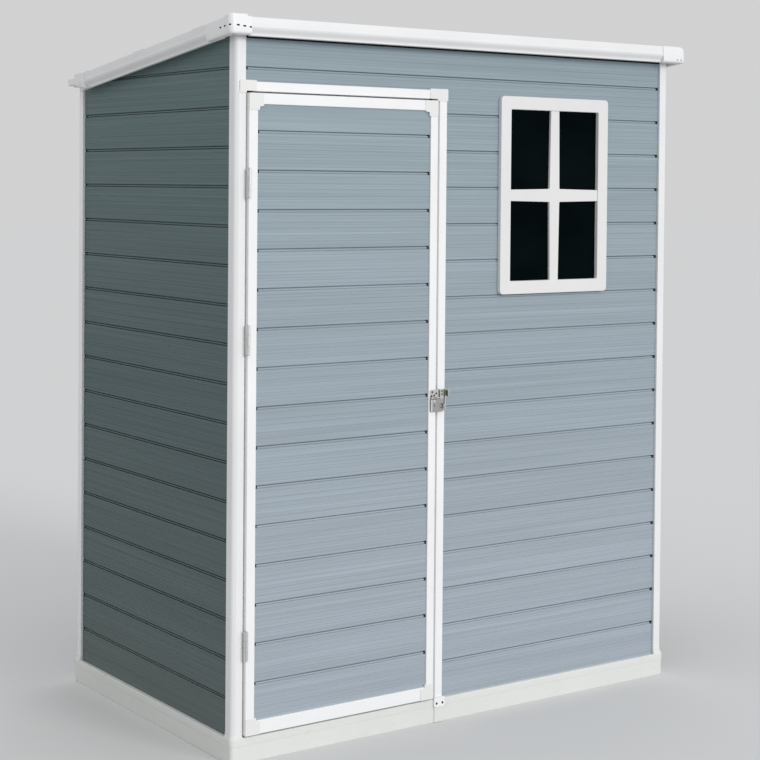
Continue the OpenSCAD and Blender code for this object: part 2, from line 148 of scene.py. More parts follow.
def board_material(name, tone, along, low=(1, 1, 1), middle=(1, 1, 1), high=(1, 1, 1)):
    """Grey-blue board skin: streaks and an embossed grain that run along the board.
    low, middle and high multiply the tone at the ground, half way up and at the roof: painted light and
    shade that changes with height."""
    m, t, p = principled(name)
    c = node(t, "ShaderNodeTexCoord").outputs["Object"]
    height = node(t, "ShaderNodeSeparateXYZ")
    t.links.new(c, height.inputs[0])

    def stretched(run, across, up):
        """Scales of a noise that is drawn out along the board."""
        return (run, across, up) if along == "x" else (across, run, up)

    clouds = noise(t, c, 2.2, 3, scale=stretched(0.4, 4, 16))
    streak = noise(t, c, 1.0, 5, 0.62, stretched(1.1, 20, 150))
    grain = noise(t, c, 1.0, 4, 0.6, stretched(3, 30, 520))
    dust = noise(t, c, 700, 2)
    base = mix(t, remap(t, clouds, 0.25, 0.75), scaled(tone, 0.90), scaled(tone, 1.07))
    base = mix(t, remap(t, streak, 0.40, 0.65, 0.0, 0.55), base, scaled(tone, 0.84))
    base = mix(t, remap(t, grain, 0.52, 0.78, 0.0, 0.28), base, scaled(tone, 1.22))
    # Painted light and shade by height: on the front, darker under the roof and lighter at the foot.
    painted_light = mix(t, remap(t, height.outputs["Z"], PAINTED_LIGHT_LOW, PAINTED_LIGHT_MIDDLE), low, middle)
    painted_light = mix(t, remap(t, height.outputs["Z"], PAINTED_LIGHT_MIDDLE, PAINTED_LIGHT_HIGH), painted_light, high)
    base = mix(t, 1.0, base, painted_light, "MULTIPLY")
    t.links.new(base, p.inputs["Base Color"])
    t.links.new(remap(t, streak, 0.3, 0.7, 0.52, 0.68), p.inputs["Roughness"])
    p.inputs["Specular IOR Level"].default_value = 0.25
    n = bump(t, grain, 0.30, 0.0006)
    n = bump(t, streak, 0.30, 0.0010, n)
    n = bump(t, dust, 0.10, 0.0003, n)
    t.links.new(n, p.inputs["Normal"])
    return m


def plastic_material(name, tone, rough, grain=0.05, spec=0.4, dirt=0.0):
    """White extruded or moulded plastic: faint clouds of tone, a fine pebble and a little grime."""
    m, t, p = principled(name)
    c = node(t, "ShaderNodeTexCoord").outputs["Object"]
    clouds = noise(t, c, 5.5, 4)
    pebble = noise(t, c, 420, 3)
    ripple = noise(t, c, 26, 2)
    base = mix(t, remap(t, clouds, 0.3, 0.7), scaled(tone, 0.965), tone)
    if dirt:
        spots = noise(t, c, 34, 6, 0.7, (1, 1, 1.6))
        base = mix(t, remap(t, spots, 0.55, 0.80, 0.0, dirt), base, (0.40, 0.38, 0.33))
    t.links.new(base, p.inputs["Base Color"])
    t.links.new(remap(t, clouds, 0.3, 0.7, rough - 0.05, rough + 0.06), p.inputs["Roughness"])
    p.inputs["Specular IOR Level"].default_value = spec
    n = bump(t, pebble, grain, 0.0004)
    n = bump(t, ripple, 0.05, 0.0010, n)
    t.links.new(n, p.inputs["Normal"])
    return m


def metal_material(name, tone, rough, spangle=0.25):
    """Zinc plate: patches of crystal tone, fine brushing and dull spots."""
    m, t, p = principled(name)
    c = node(t, "ShaderNodeTexCoord").outputs["Object"]
    cells = node(t, "ShaderNodeTexVoronoi", Scale=260.0)
    t.links.new(c, cells.inputs["Vector"])
    spots = noise(t, c, 120, 4)
    brushed = noise(t, c, 1.0, 2, scale=(900, 900, 60))
    base = mix(t, remap(t, cells.outputs["Distance"], 0.0, 0.7, 0.0, spangle), tone, scaled(tone, 0.62))
    base = mix(t, remap(t, spots, 0.5, 0.75, 0.0, 0.5), base, scaled(tone, 0.55))
    t.links.new(base, p.inputs["Base Color"])
    t.links.new(remap(t, spots, 0.3, 0.7, rough - 0.08, rough + 0.12), p.inputs["Roughness"])
    p.inputs["Metallic"].default_value = 0.85
    t.links.new(bump(t, brushed, 0.12, 0.0002), p.inputs["Normal"])
    return m


def sheet_material(name):
    """Tinted window sheet, nearly black from outside, with a faint ripple and film. Its near-black,
    almost opaque colour is its own tint plus painted shade of the dark inside.
    """
    m, t, p = principled(name)
    c = node(t, "ShaderNodeTexCoord").outputs["Object"]
    film = noise(t, c, 2.2, 4, scale=(1.5, 1.5, 3.5))
    ripple = noise(t, c, 9, 2)
    # Near-black: the sheet's own tint with painted shade of the dark inside seen through it.
    tint_and_shade = mix(t, remap(t, film, 0.35, 0.7), (0.0004, 0.0022, 0.0028), (0.0016, 0.0048, 0.0056))
    t.links.new(tint_and_shade, p.inputs["Base Color"])
    t.links.new(remap(t, film, 0.3, 0.7, 0.10, 0.22), p.inputs["Roughness"])
    p.inputs["Specular IOR Level"].default_value = 0.02
    p.inputs["Alpha"].default_value = 0.97
    t.links.new(bump(t, ripple, 0.05, 0.002), p.inputs["Normal"])
    return m


# GREY is the front boards' tone. The side and back walls get darker copies of it, which paint their
# shade.
GREY = (0.362, 0.416, 0.460)
GREY_SIDE_IN_SHADE = (0.140, 0.198, 0.203)
BOARD_X = board_material(
    "board_front", GREY, "x", (1.05, 1.03, 1.05), (0.93, 0.955, 0.965), (0.84, 0.90, 0.90))
BOARD_BACK_IN_SHADE = board_material("board_back_in_shade", scaled(GREY, 0.60), "x")
BOARD_SIDE_IN_SHADE = board_material(
    "board_side_in_shade", GREY_SIDE_IN_SHADE, "y", (0.91, 0.81, 0.78), (0.76, 0.76, 0.78), (1.02, 1.03, 1.02))
TRIM = plastic_material("white_trim", (0.83, 0.835, 0.84), 0.34)
TRIM_BRIGHT = plastic_material("door_trim", (0.90, 0.90, 0.905), 0.30)
TRIM_CREAM = plastic_material("fitting_trim", (0.82, 0.82, 0.805), 0.34)
TRIM_CAP = plastic_material("cap_trim", (0.86, 0.86, 0.865), 0.34)
TRIM_SOFT = plastic_material("window_trim", (0.77, 0.77, 0.76), 0.48, 0.10)
BASE_MAT = plastic_material("base_plastic", (0.76, 0.77, 0.745), 0.5, 0.12, dirt=0.16)
FLOOR_MAT = plastic_material("floor_plastic", (0.50, 0.51, 0.51), 0.55, 0.16, dirt=0.22)
ROOF_MAT = plastic_material("roof_plastic", (0.78, 0.785, 0.79), 0.42, 0.10, dirt=0.08)
ZINC = metal_material("zinc", (0.60, 0.60, 0.60), 0.38)
ZINC_LIGHT = metal_material("zinc_light", (0.80, 0.80, 0.79), 0.42, 0.12)
ZINC_FLAP = metal_material("zinc_flap", (0.44, 0.44, 0.44), 0.42, 0.5)
ZINC_PLATE = metal_material("zinc_plate", (0.66, 0.66, 0.65), 0.40, 0.5)
ZINC_DARK = metal_material("zinc_dark", (0.10, 0.10, 0.10), 0.5)
BRASS = metal_material("brass", (0.22, 0.18, 0.08), 0.42)
SHEET = sheet_material("window_sheet")
# Near black for the faces of notches, slots, holes and strips where shade falls: painted shade.
PAINTED_SHADE = plastic_material("painted_shade_dark", (0.017, 0.018, 0.020), 0.8, 0.1, 0.1)


# ---- Mesh helpers ----

SMOOTH, CUT_SMOOTH, RIM = 40, 28, 50  # least angles, in degrees, of a sharp edge and of a rounded rim


def shade(ob, angle):
    """Smooths a piece up to an angle, with normals weighted by its faces' areas."""
    ob.data.shade_smooth()
    ob.data.set_sharp_from_angle(angle=math.radians(angle))
    ob.modifiers.new("normals", "WEIGHTED_NORMAL").keep_sharp = True


def make(name, bm, mats, body, nodes=(), smooth=SMOOTH):
    """Turns a bmesh in millimetres into a piece that rides on a body. With smooth 0 it stays flat."""
    bmesh.ops.remove_doubles(bm, verts=bm.verts, dist=1e-4)
    bmesh.ops.recalc_face_normals(bm, faces=bm.faces)
    bmesh.ops.scale(bm, vec=(MM, MM, MM), verts=bm.verts)
    me = bpy.data.meshes.new(name)
    bm.to_mesh(me)
    bm.free()
    for m in mats if isinstance(mats, (list, tuple)) else [mats]:
        me.materials.append(m)
    ob = bpy.data.objects.new(name, me)
    bpy.context.scene.collection.objects.link(ob)
    if smooth:
        shade(ob, smooth)
    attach(ob, body)
    if nodes:
        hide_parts(*nodes)
    return ob


def trim(name, bm, mats, *nodes, smooth=SMOOTH):
    """A white piece of the shell."""
    return make(name, bm, mats, SHELL, nodes, smooth)


def bevel(bm, r, segments):
    """Rounds the rims: the edges whose faces meet at more than RIM."""
    bm.normal_update()
    edges = [e for e in bm.edges if len(e.link_faces) == 2 and e.calc_face_angle(0) > math.radians(RIM)]
    bmesh.ops.bevel(
        bm, geom=edges, offset=r, segments=segments, profile=0.5, affect="EDGES", clamp_overlap=True)


def add_box(bm, lo, hi, r=0.0, segments=2, mat=0):
    made = bmesh.ops.create_cube(bm, size=1)
    lo, hi = Vector(lo), Vector(hi)
    for v in made["verts"]:
        v.co = Vector((v.co[i] + 0.5) * (hi[i] - lo[i]) + lo[i] for i in range(3))
    faces = {f for v in made["verts"] for f in v.link_faces}
    edges = {e for v in made["verts"] for e in v.link_edges}
    for f in faces:
        f.material_index = mat
    if r:
        out = bmesh.ops.bevel(
            bm, geom=list(edges), offset=r, segments=segments, profile=0.5, affect="EDGES")
        for f in out["faces"]:
            f.material_index = mat


def prism(bm, outline, place, t0, t1, mat=0):
    """A closed prism: place(a, b, t) puts the outline's point (a, b) at depth t."""
    a = [bm.verts.new(place(x, y, t0)) for x, y in outline]
    b = [bm.verts.new(place(x, y, t1)) for x, y in outline]
    n = len(outline)
    faces = [bm.faces.new(a), bm.faces.new(b[::-1])]
    for i in range(n):
        faces.append(bm.faces.new((a[i], a[(i + 1) % n], b[(i + 1) % n], b[i])))
    for f in faces:
        f.material_index = mat


def loft(bm, rings, closed=False):
    """Skins rings of equally many points. Its ends are capped, or it runs round to its first ring."""
    rings = [[bm.verts.new(p) for p in ring] for ring in rings]
    n = len(rings[0])
    pairs = list(zip(rings, rings[1:])) + ([(rings[-1], rings[0])] if closed else [])
    for a, b in pairs:
        for i in range(n):
            bm.faces.new((a[i], a[(i + 1) % n], b[(i + 1) % n], b[i]))
    if not closed:
        bm.faces.new(rings[0])
        bm.faces.new(rings[-1][::-1])


def sweep(bm, profile, stations):
    """Sweeps a closed profile of (offset, height) points through stations, each a map to a point."""
    loft(bm, [[s(o, h) for o, h in profile] for s in stations])


def rounded(points, r, n=6):
    """A polygon's outline with its corners rounded. r is one radius, or one for each corner."""
    radii = list(r) if isinstance(r, (list, tuple)) else [r] * len(points)
    out = []
    for i, radius in enumerate(radii):
        p, a, b = Vector(points[i]), Vector(points[i - 1]), Vector(points[(i + 1) % len(points)])
        if radius <= 0:
            out.append(tuple(p))
            continue
        to_a, to_b = (a - p).normalized(), (b - p).normalized()
        half = to_a.angle(to_b) / 2
        centre = p + (to_a + to_b).normalized() * radius / math.sin(half)
        start, end = (p + to * radius / math.tan(half) - centre for to in (to_a, to_b))
        first = math.atan2(start.y, start.x)
        turn = (math.atan2(end.y, end.x) - first + math.pi) % (2 * math.pi) - math.pi
        for k in range(n + 1):
            t = first + turn * k / n
            out.append((centre.x + radius * math.cos(t), centre.y + radius * math.sin(t)))
    return out


def rect(x0, x1, z0, z1):
    return [(x0, z0), (x1, z0), (x1, z1), (x0, z1)]


def merge(bm, other):
    """Adds another bmesh to this one."""
    me = bpy.data.meshes.new("part")
    other.to_mesh(me)
    other.free()
    bm.from_mesh(me)
    bpy.data.meshes.remove(me)


def plate(bm, outline, y0, y1, r, segments=2, mat=0):
    """A plate in the front's plane, from depth y0 to y1, with its rims rounded."""
    part = bmesh.new()
    prism(part, outline, lambda a, b, t: (a, t, b), y0, y1)
    bmesh.ops.recalc_face_normals(part, faces=part.faces)
    bevel(part, r, segments)
    for f in part.faces:
        f.material_index = mat
    merge(bm, part)


def cylinder(bm, centre, axis, r, length, n=20, mat=0, r2=None):
    """A closed cylinder or cone along an axis, its middle at centre."""
    axis = Vector(axis).normalized()
    turn = Vector((0, 0, 1)).rotation_difference(axis).to_matrix().to_4x4()
    made = bmesh.ops.create_cone(
        bm, cap_ends=True, segments=n, radius1=r, radius2=r if r2 is None else r2, depth=length,
        matrix=Matrix.Translation(centre) @ turn,
    )
    for f in {f for v in made["verts"] for f in v.link_faces}:
        f.material_index = mat


def cut(ob, cutters):
    """Cuts holes: cutters is a bmesh in millimetres. The holes' faces get the piece's last material,
    painted shade in every piece cut here.
    """
    last = len(ob.data.materials) - 1
    bmesh.ops.recalc_face_normals(cutters, faces=cutters.faces)
    bmesh.ops.scale(cutters, vec=(MM, MM, MM), verts=cutters.verts)
    me = bpy.data.meshes.new("cutter")
    for f in cutters.faces:
        f.material_index = last
    cutters.to_mesh(me)
    cutters.free()
    for m in ob.data.materials:
        me.materials.append(m)
    tool = bpy.data.objects.new("cutter", me)
    bpy.context.scene.collection.objects.link(tool)
    ob.modifiers.clear()
    b = ob.modifiers.new("cut", "BOOLEAN")
    b.object, b.operation, b.solver = tool, "DIFFERENCE", "EXACT"
    dg = bpy.context.evaluated_depsgraph_get()
    new = bpy.data.meshes.new_from_object(ob.evaluated_get(dg))
    ob.modifiers.clear()
    old, ob.data = ob.data, new
    bpy.data.objects.remove(tool)
    bpy.data.meshes.remove(old)
    shade(ob, CUT_SMOOTH)


# ---- Boards ----

PITCH = 100
# Section of a joint, from its top down: (height from the joint, depth, 1 where a notch reaches).
JOINT = [(1.0, 0, 0), (0.3, 0.5, 0), (0.0, 1.2, 1), (-0.01, 6.5, 1), (-2.5, 6.5, 1), (-2.7, 1.7, 1),
         (-6.0, 0.9, 1), (-6.1, 2.6, 1), (-7.4, 2.6, 1), (-8.3, 0, 0)]
# On the side walls the joint's second groove is wider and deeper.
SIDE_JOINT = JOINT[:-4] + [(-5.6, 0.9, 1), (-5.7, 6.0, 1), (-7.8, 6.0, 1), (-8.3, 0, 0)]
# Ribs of a board, from its top down: the step to each groove, its depth, and the groove's section
# as (height, share of the depth).
RIBS = (9, 7, 10.5, 6, 8, 11, 7, 9, 6.5, 10)
RIB_DEPTH = (0.60, 0.42, 0.75, 0.45, 0.63, 0.48, 0.72, 0.45, 0.63, 0.50)
RIB = ((1.3, 0), (0.2, 1), (-0.4, 1), (-1.1, 0))
ROW_GAP = 0.3  # least distance of a row from the panel's top and foot
NOTCH, NOTCH_SIDE = 2.4, 0.5  # depth of a notch at a joint's end, and run of its side
END, DOOR_END = 9, 6  # lengths of the notches
INNER = 1.2  # depth of the joints in a wall's inner face
WALL_JOINTS = [BASE_H + PITCH * k for k in range(1, 19)]


def board_rows(z0, z1, joints, joint):
    """Heights and depths of a wall's face, from the bottom up: (height, depth, in a joint)."""
    rows = []
    for zj in joints:
        rows += [(zj + h, d, s) for h, d, s in joint]
        z = zj + joint[-1][0]
        for step, depth in zip(RIBS, RIB_DEPTH):
            z -= step
            rows += [(z + h, share * depth, 0) for h, share in RIB]
    rows = [r for r in rows if z0 + ROW_GAP < r[0] < z1 - ROW_GAP]
    return sorted([(z0, 0, 0), (z1, 0, 0)] + rows)


def area_of(lo, hi, axis="x"):
    """What a board panel covers: (s0, s1, z0, z1)."""
    return getattr(lo, axis), getattr(hi, axis), lo.z, hi.z


def board_panel(name, node_name, body, mat, place, area, notches, hole=None, joint=JOINT,
                thick=WALL_T, joints=WALL_JOINTS):
    """A row of boards as one closed panel. place(s, d, z): s along the wall, d inward from its face.
    Each notch is (s0, s1). The walls are cut off under the roof."""
    s0, s1, z0, z1 = area
    rows = board_rows(z0, z1, joints, joint)
    if hole:
        rows = sorted(rows + [(hole[2], 0, 0), (hole[3], 0, 0)])
    cols = {s0, s1, *(hole[:2] if hole else ())}
    for a, b in notches:
        cols |= {a, b, a - NOTCH_SIDE, b + NOTCH_SIDE}
    cols |= {s0 + (s1 - s0) * k / 4 for k in range(1, 4)}
    cols = sorted(c for c in cols if s0 <= c <= s1)
    bm = bmesh.new()
    made = {}

    def vert(i, j, inner):
        key = (i, j, inner)
        if key not in made:
            s, (z, d, slot) = cols[i], rows[j]
            if inner:
                d = thick - (INNER if slot else 0)
            elif slot and any(a <= s <= b for a, b in notches):
                d = NOTCH
            made[key] = bm.verts.new(place(s, d, z))
        return made[key]

    def solid(i, j):
        if not (0 <= i < len(cols) - 1 and 0 <= j < len(rows) - 1):
            return False
        s, z = (cols[i] + cols[i + 1]) / 2, (rows[j][0] + rows[j + 1][0]) / 2
        return not (hole and hole[0] < s < hole[1] and hole[2] < z < hole[3])

    for i in range(len(cols) - 1):
        s = (cols[i] + cols[i + 1]) / 2
        notched = any(a - NOTCH_SIDE < s < b + NOTCH_SIDE for a, b in notches)
        for j in range(len(rows) - 1):
            if not solid(i, j):
                continue
            corners = [(i, j), (i + 1, j), (i + 1, j + 1), (i, j + 1)]
            face = bm.faces.new([vert(*c, False) for c in corners])
            # The notches' faces take painted shade.
            if notched and (rows[j][2] or rows[j + 1][2]):
                face.material_index = 1
            bm.faces.new([vert(*c, True) for c in corners[::-1]])
            for k, (di, dj) in enumerate(((0, -1), (1, 0), (0, 1), (-1, 0))):
                if not solid(i + di, j + dj):
                    a, b = corners[k], corners[(k + 1) % 4]
                    bm.faces.new([vert(*b, False), vert(*a, False), vert(*a, True), vert(*b, True)])
    if body == SHELL:
        point = Vector((0, FRONT_Y, FRONT_H - ROOF_GAP))
        normal = Vector((0, math.sin(FALL), math.cos(FALL)))
        geom = bm.verts[:] + bm.edges[:] + bm.faces[:]
        bmesh.ops.bisect_plane(bm, geom=geom, plane_co=point, plane_no=normal, clear_outer=True)
        bmesh.ops.holes_fill(bm, edges=[e for e in bm.edges if e.is_boundary], sides=0)
    make(name, bm, [mat, PAINTED_SHADE], body, [node_name], smooth=0)


def end_notches(s0, s1, length):
    return [(s0, s0 + length), (s1 - length, s1)]


def front_face(s, d, z):
    return (s, FRONT_Y + d, z)


LOW_DOOR_JOINT, PANEL_RISE = 204.6, 5
DOOR_JOINTS = [LOW_DOOR_JOINT + PITCH * k for k in range(15)]
board_panel("boards_over_door", "front_wall_over_door", SHELL, BOARD_X, front_face,
            area_of(over_lo, over_hi), [(over_lo.x, over_lo.x + END)])
board_panel("boards_front_right", "front_wall_right", SHELL, BOARD_X, front_face,
            area_of(front_lo, front_hi), [(front_hi.x - END, front_hi.x)], area_of(pane_lo, pane_hi))
for tag, sx in (("left", -1), ("right", 1)):
    lo, hi = box("wall_" + tag)
    board_panel("boards_" + tag, "wall_" + tag, SHELL, BOARD_SIDE_IN_SHADE,
                lambda s, d, z: (sx * (WALL_X - d), s, z), area_of(lo, hi, "y"),
                end_notches(lo.y, hi.y, END), joint=SIDE_JOINT)
board_panel("boards_back", "wall_back", SHELL, BOARD_BACK_IN_SHADE, lambda s, d, z: (s, BACK_Y - d, z),
            area_of(back_lo, back_hi), end_notches(back_lo.x, back_hi.x, END))
board_panel("boards_door", "door_panel", DOOR, BOARD_X, lambda s, d, z: (s, dp_lo.y + d, z),
            area_of(dp_lo, dp_hi + Vector((0, 0, PANEL_RISE))),
            end_notches(dp_lo.x, dp_hi.x, DOOR_END), thick=dp_hi.y - dp_lo.y, joints=DOOR_JOINTS)

# ---- Roof ----

ROOF = Matrix.Translation((0, FRONT_Y, FRONT_H)) @ Matrix.Rotation(-FALL, 4, "X")


def on_roof(x, y, z):
    return ROOF @ Vector((x, y, z))


def stood_off(over, points):
    """A section that stands over past a wall. Its points are (distance in from its face, height)."""
    return [(over - inward, h) for inward, h in points]


# A fascia: a flat band with a bead under it, then a face that turns in to a lip.
EDGE = (
    (FASCIA_T, ROOF_HIGH), (3.4, ROOF_HIGH), (2.0, ROOF_HIGH - 0.5), (1.4, ROOF_HIGH - 1.6),
    (1.3, ROOF_HIGH - 3), (1.5, 8.6), (1.9, 7.9), (1.5, 7.0), (0.7, 6.2), (0.2, 4.8), (0.1, 3.0),
    (0.4, 0.6), (1.2, -1.8), (2.6, -4.2), (4.4, -6.4), (6.6, -8.6), (9.0, -10.8), (11.2, -13.4),
    (12.2, -15.6), (12.7, -17.2), (12.0, -17.8), (12.0, -19.2), (13, ROOF_LOW), (FASCIA_T, ROOF_LOW),
)
BACK_EDGE = (
    (BACK_T, ROOF_HIGH), (2.0, ROOF_HIGH), (0.6, ROOF_HIGH - 0.8), (0, ROOF_HIGH - 2.4), (0, 8),
    (0.9, 7.2), (0.9, 6.4), (0, 5.6), (0, ROOF_LOW + 2), (1.2, ROOF_LOW), (BACK_T, ROOF_LOW),
)
X_END = WALL_X + OVER_SIDE - CAP_L
Y_ENDS = (CAP_L - OVER_FRONT, SLOPE_L + OVER_BACK - CAP_L)


def fascia(tag, name, profile, stations):
    bm = bmesh.new()
    sweep(bm, profile, stations)
    trim(name, bm, TRIM, "fascia_" + tag)


fascia("front", "verge_front", stood_off(OVER_FRONT, EDGE),
       [lambda o, h, k=k: on_roof(k * X_END, -o, h) for k in (-1, 1)])
# A dark strip of painted shadow lies in the gap between the front wall's top and the fascia.
SHADOW_LOW, SHADOW_HIGH, SHADOW_OUT, SHADOW_IN = -18.9, -3, 1.2, 2
bm = bmesh.new()
reach = WALL_X - POST_S + POST_PROUD
loft(bm, [[on_roof(x, y, h) for y, h in rect(-SHADOW_OUT, SHADOW_IN, SHADOW_LOW, SHADOW_HIGH)]
          for x in (-reach, reach)])
trim("painted_shadow_front", bm, PAINTED_SHADE, smooth=0)
fascia("back", "eaves_back", stood_off(OVER_BACK, BACK_EDGE),
       [lambda o, h, k=k: on_roof(k * X_END, SLOPE_L + o, h) for k in (-1, 1)])
for tag, side in (("left", -1), ("right", 1)):
    fascia(tag, "verge_" + tag, stood_off(OVER_SIDE, EDGE),
           [lambda o, h, y=y: on_roof(side * (WALL_X + o), y, h) for y in Y_ENDS])

# The corner caps stand CAP_OUT past the fascias, round their corner on a radius of CAP_R.
CAP_R, CAP_OUT = 15, 0.9
QUARTER = [math.pi / 2 * i / 8 for i in range(9)]


def cap_profile(over, rise, soft, low=-20.8):
    """Section of a cap's arm: rise is its height over the fascia and soft its top edge's radius."""
    top = ROOF_HIGH + rise
    arc = [(over - soft + soft * math.sin(a), top - soft + soft * math.cos(a))
           for a in (math.pi / 2 * i / 5 for i in range(6))]
    return [(over - FASCIA_T, top)] + arc + stood_off(over, (
        (0, 8.0), (0.2, 2.0), (0.7, -5.0), (1.7, low + 5.6), (2.3, low + 3.2), (3.8, low + 1.2),
        (5.8, low + 0.2), (7.6, low), (FASCIA_T, low),
    ))


def roof_corner(name, sx, low, sections):
    """A front cap. sections are (arm, position, rise, softness), from the side arm's end to the
    front arm's, and low is the height of its underside."""
    def place(x, y, h):
        return on_roof(sx * WALL_X + x, y, h)

    rings = []
    over_side, over_front = OVER_SIDE + CAP_OUT, OVER_FRONT + CAP_OUT
    k = CAP_R - over_side
    for arm, t, rise, soft in sections:
        profile = cap_profile(over_front if arm == "front" else over_side, rise, soft, low)
        if arm == "side":
            rings.append([place(sx * o, t, h) for o, h in profile])
        elif arm == "front":
            rings.append([place(-sx * t, -o, h) for o, h in profile])
        else:
            for a in QUARTER:
                c, d = math.cos(a), math.sin(a)
                rings.append([
                    place(sx * ((o + k) * c - k), -((o + k) * d - k) - (OVER_FRONT - OVER_SIDE) * d, h)
                    for o, h in profile
                ])
    bm = bmesh.new()
    loft(bm, rings)
    return trim(name, bm, [TRIM_CAP, PAINTED_SHADE], name)


SLOT_OUT, SLOT_IN = -4, 5


def slot_cutters(places, half_l, half_h):
    """Rounded slots in a cap's face: each place is (middle, along, inward)."""
    bm = bmesh.new()
    for middle, along, inward in places:
        up = along.cross(inward).normalized()
        ring = rounded(rect(-half_l, half_l, -half_h, half_h), half_h * 0.85, 4)
        prism(bm, ring, lambda a, b, t: middle + along * a + up * b + inward * t, SLOT_OUT, SLOT_IN)
    return bm


left_cap = roof_corner("roof_cap_front_left", -1, -18.4, [
    ("side", 78, 0.6, 3.0), ("side", 20, 0.8, 3.0), ("side", -9, 1.0, 3.0),
    ("side", -29, 6.0, 2.5), ("corner", 0, 6.0, 2.5), ("front", -12, 6.0, 2.5),
    ("front", 6.6, 6.0, 1.6), ("front", 7.0, 0.8, 1.6), ("front", 18, 0.8, 2.0),
])
right_cap = roof_corner("roof_cap_front_right", 1, -20.8, [
    ("side", 40, 1.4, 11.0), ("side", -29, 1.4, 11.0), ("corner", 0, 1.4, 11.0),
    ("front", -24, 1.4, 8.0), ("front", 0, 1.0, 4.0), ("front", 47, 0.8, 2.0),
])


def slot_places(sx, on_front, on_side):
    """Places of the slots on a front cap's arms, from (position, height) for each of them."""
    across, down = ROOF.to_3x3() @ Vector((1, 0, 0)), ROOF.to_3x3() @ Vector((0, 1, 0))
    face_x, face_y = sx * (WALL_X + OVER_SIDE + CAP_OUT), -OVER_FRONT - CAP_OUT
    out = [(on_roof(sx * (WALL_X + v), face_y, h), across, down) for v, h in on_front]
    return out + [(on_roof(face_x, v, h), down, -sx * across) for v, h in on_side]


SIDE_SLOTS = ((-41, 3.4), (-18, 3.4), (4, 3.4))
LEFT_SLOTS, RIGHT_SLOTS = ((22, 2.2), (3.5, 0.6), (-15, -1.0)), ((24, -13.0), (9, -13.0))
# The slots' walls take painted shade.
cut(left_cap, slot_cutters(slot_places(-1, LEFT_SLOTS, SIDE_SLOTS), 4.6, 2.0))
cut(right_cap, slot_cutters(slot_places(1, RIGHT_SLOTS, SIDE_SLOTS), 2.8, 1.3))
NOSE_START, NOSE_R, NOSE_RIM, NOSE_LEAN = 48, 14, 1.2, -0.09
NOSE_LEVELS = (4.0, 5.6, 20.0, 22.0)
BACK_ARM = ((-112, 0.6, -21.2), (-99, 0.8, -21.2), (-46.6, 5.5, -4.5))  # (place, rise, lowest point)
BACK_SOFT, CUT_IN = 3.0, 9


def back_cap(name, sx):
    """A back cap: the side arm's end with its lower corner cut off, a raised block and a round nose."""
    end = SLOPE_L
    over = OVER_SIDE + CAP_OUT
    back = end + OVER_BACK + 0.6
    bm = bmesh.new()
    rings = []
    for t, rise, low in BACK_ARM:
        ring = []
        for o, h in cap_profile(over, rise, BACK_SOFT):
            if h < low:
                o, h = max(o, over - CUT_IN), low
            ring.append(on_roof(sx * (WALL_X + o), end + t, h))
        rings.append(ring)
    loft(bm, rings)
    inner, outer, arm = WALL_X + over - FASCIA_T, WALL_X + over - 0.3, WALL_X + OVER_SIDE - CAP_L
    nose = rounded([
        (sx * inner, end - NOSE_START), (sx * outer, end - NOSE_START), (sx * outer, back),
        (sx * arm, back), (sx * arm, end + OVER_BACK - BACK_T), (sx * inner, end - 2),
    ], [0, 0, NOSE_R, 1, 0, 0], 8)
    part = bmesh.new()
    loft(part, [[on_roof(x, y, bottom + (end - y) * NOSE_LEAN) for x, y in nose]
                for bottom in NOSE_LEVELS])
    bmesh.ops.recalc_face_normals(part, faces=part.faces)
    bevel(part, NOSE_RIM, 2)
    merge(bm, part)
    trim(name, bm, TRIM, name)


back_cap("roof_cap_back_left", -1)
back_cap("roof_cap_back_right", 1)

# The roof: one sheet of wide boards with grooves, and cover strips over the boards' joints.
STRIP_Y, STRIP_W = (120, 452, 786), 34
STRIP_TOP, STRIP_MIDDLE = ROOF_HIGH + 1.1, ROOF_HIGH + 0.2
# Half of a strip's section, from its foot to its middle: (distance from the middle, height).
STRIP = ((STRIP_W, ROOF_T - 2), (STRIP_W, ROOF_HIGH - 0.4), (STRIP_W - 2.4, STRIP_TOP),
         (9, STRIP_TOP), (7, STRIP_MIDDLE))
GROOVE = ((-2.2, 0), (-1.2, 1.8), (1.2, 1.8), (2.2, 0))  # (position, depth)
GROOVE_START, GROOVE_PITCH, GROOVE_CLEAR = 50, 41.5, 6
SHEET_LOW, SHEET_RAISED, SHEET_GAP = 0.4, 1.6, 0.2  # underside by itself and under a groove, edge gap


def across_roof(profile, reach):
    """Skins a section that runs across the whole roof."""
    bm = bmesh.new()
    loft(bm, [[on_roof(x, y, h) for y, h in profile] for x in (-reach, -reach / 3, reach / 3, reach)])
    return bm


def roof_boards():
    y0, y1 = FASCIA_T - OVER_FRONT + SHEET_GAP, SLOPE_L + OVER_BACK - BACK_T - SHEET_GAP
    top = [(y0, ROOF_T)]
    y = y0 + GROOVE_START
    while y < y1 - 8:
        if all(abs(y - s) > STRIP_W + GROOVE_CLEAR for s in STRIP_Y):
            top += [(y + dy, ROOF_T - depth) for dy, depth in GROOVE]
        y += GROOVE_PITCH
    top.append((y1, ROOF_T))
    low = [(y, SHEET_LOW if h == ROOF_T else SHEET_RAISED) for y, h in reversed(top)]
    bm = across_roof(top + low, WALL_X + OVER_SIDE - FASCIA_T - SHEET_GAP)
    make("roof_boards", bm, ROOF_MAT, SHELL, ["roof_panel"], smooth=30)
    bm = bmesh.new()
    for s in STRIP_Y:
        strip = [(s - d, h) for d, h in STRIP] + [(s + d, h) for d, h in reversed(STRIP)]
        merge(bm, across_roof(strip, WALL_X + OVER_SIDE - 1.0))
    trim("roof_strips", bm, TRIM, smooth=30)


roof_boards()

# ---- Base ----

PROUD = -WALL_X - box("base_rail_left")[0].x
RAIL_W, RAIL_START = 48, 26
BOOT_ARM, BOOT_IN, PAD = 76, 10.5, 20


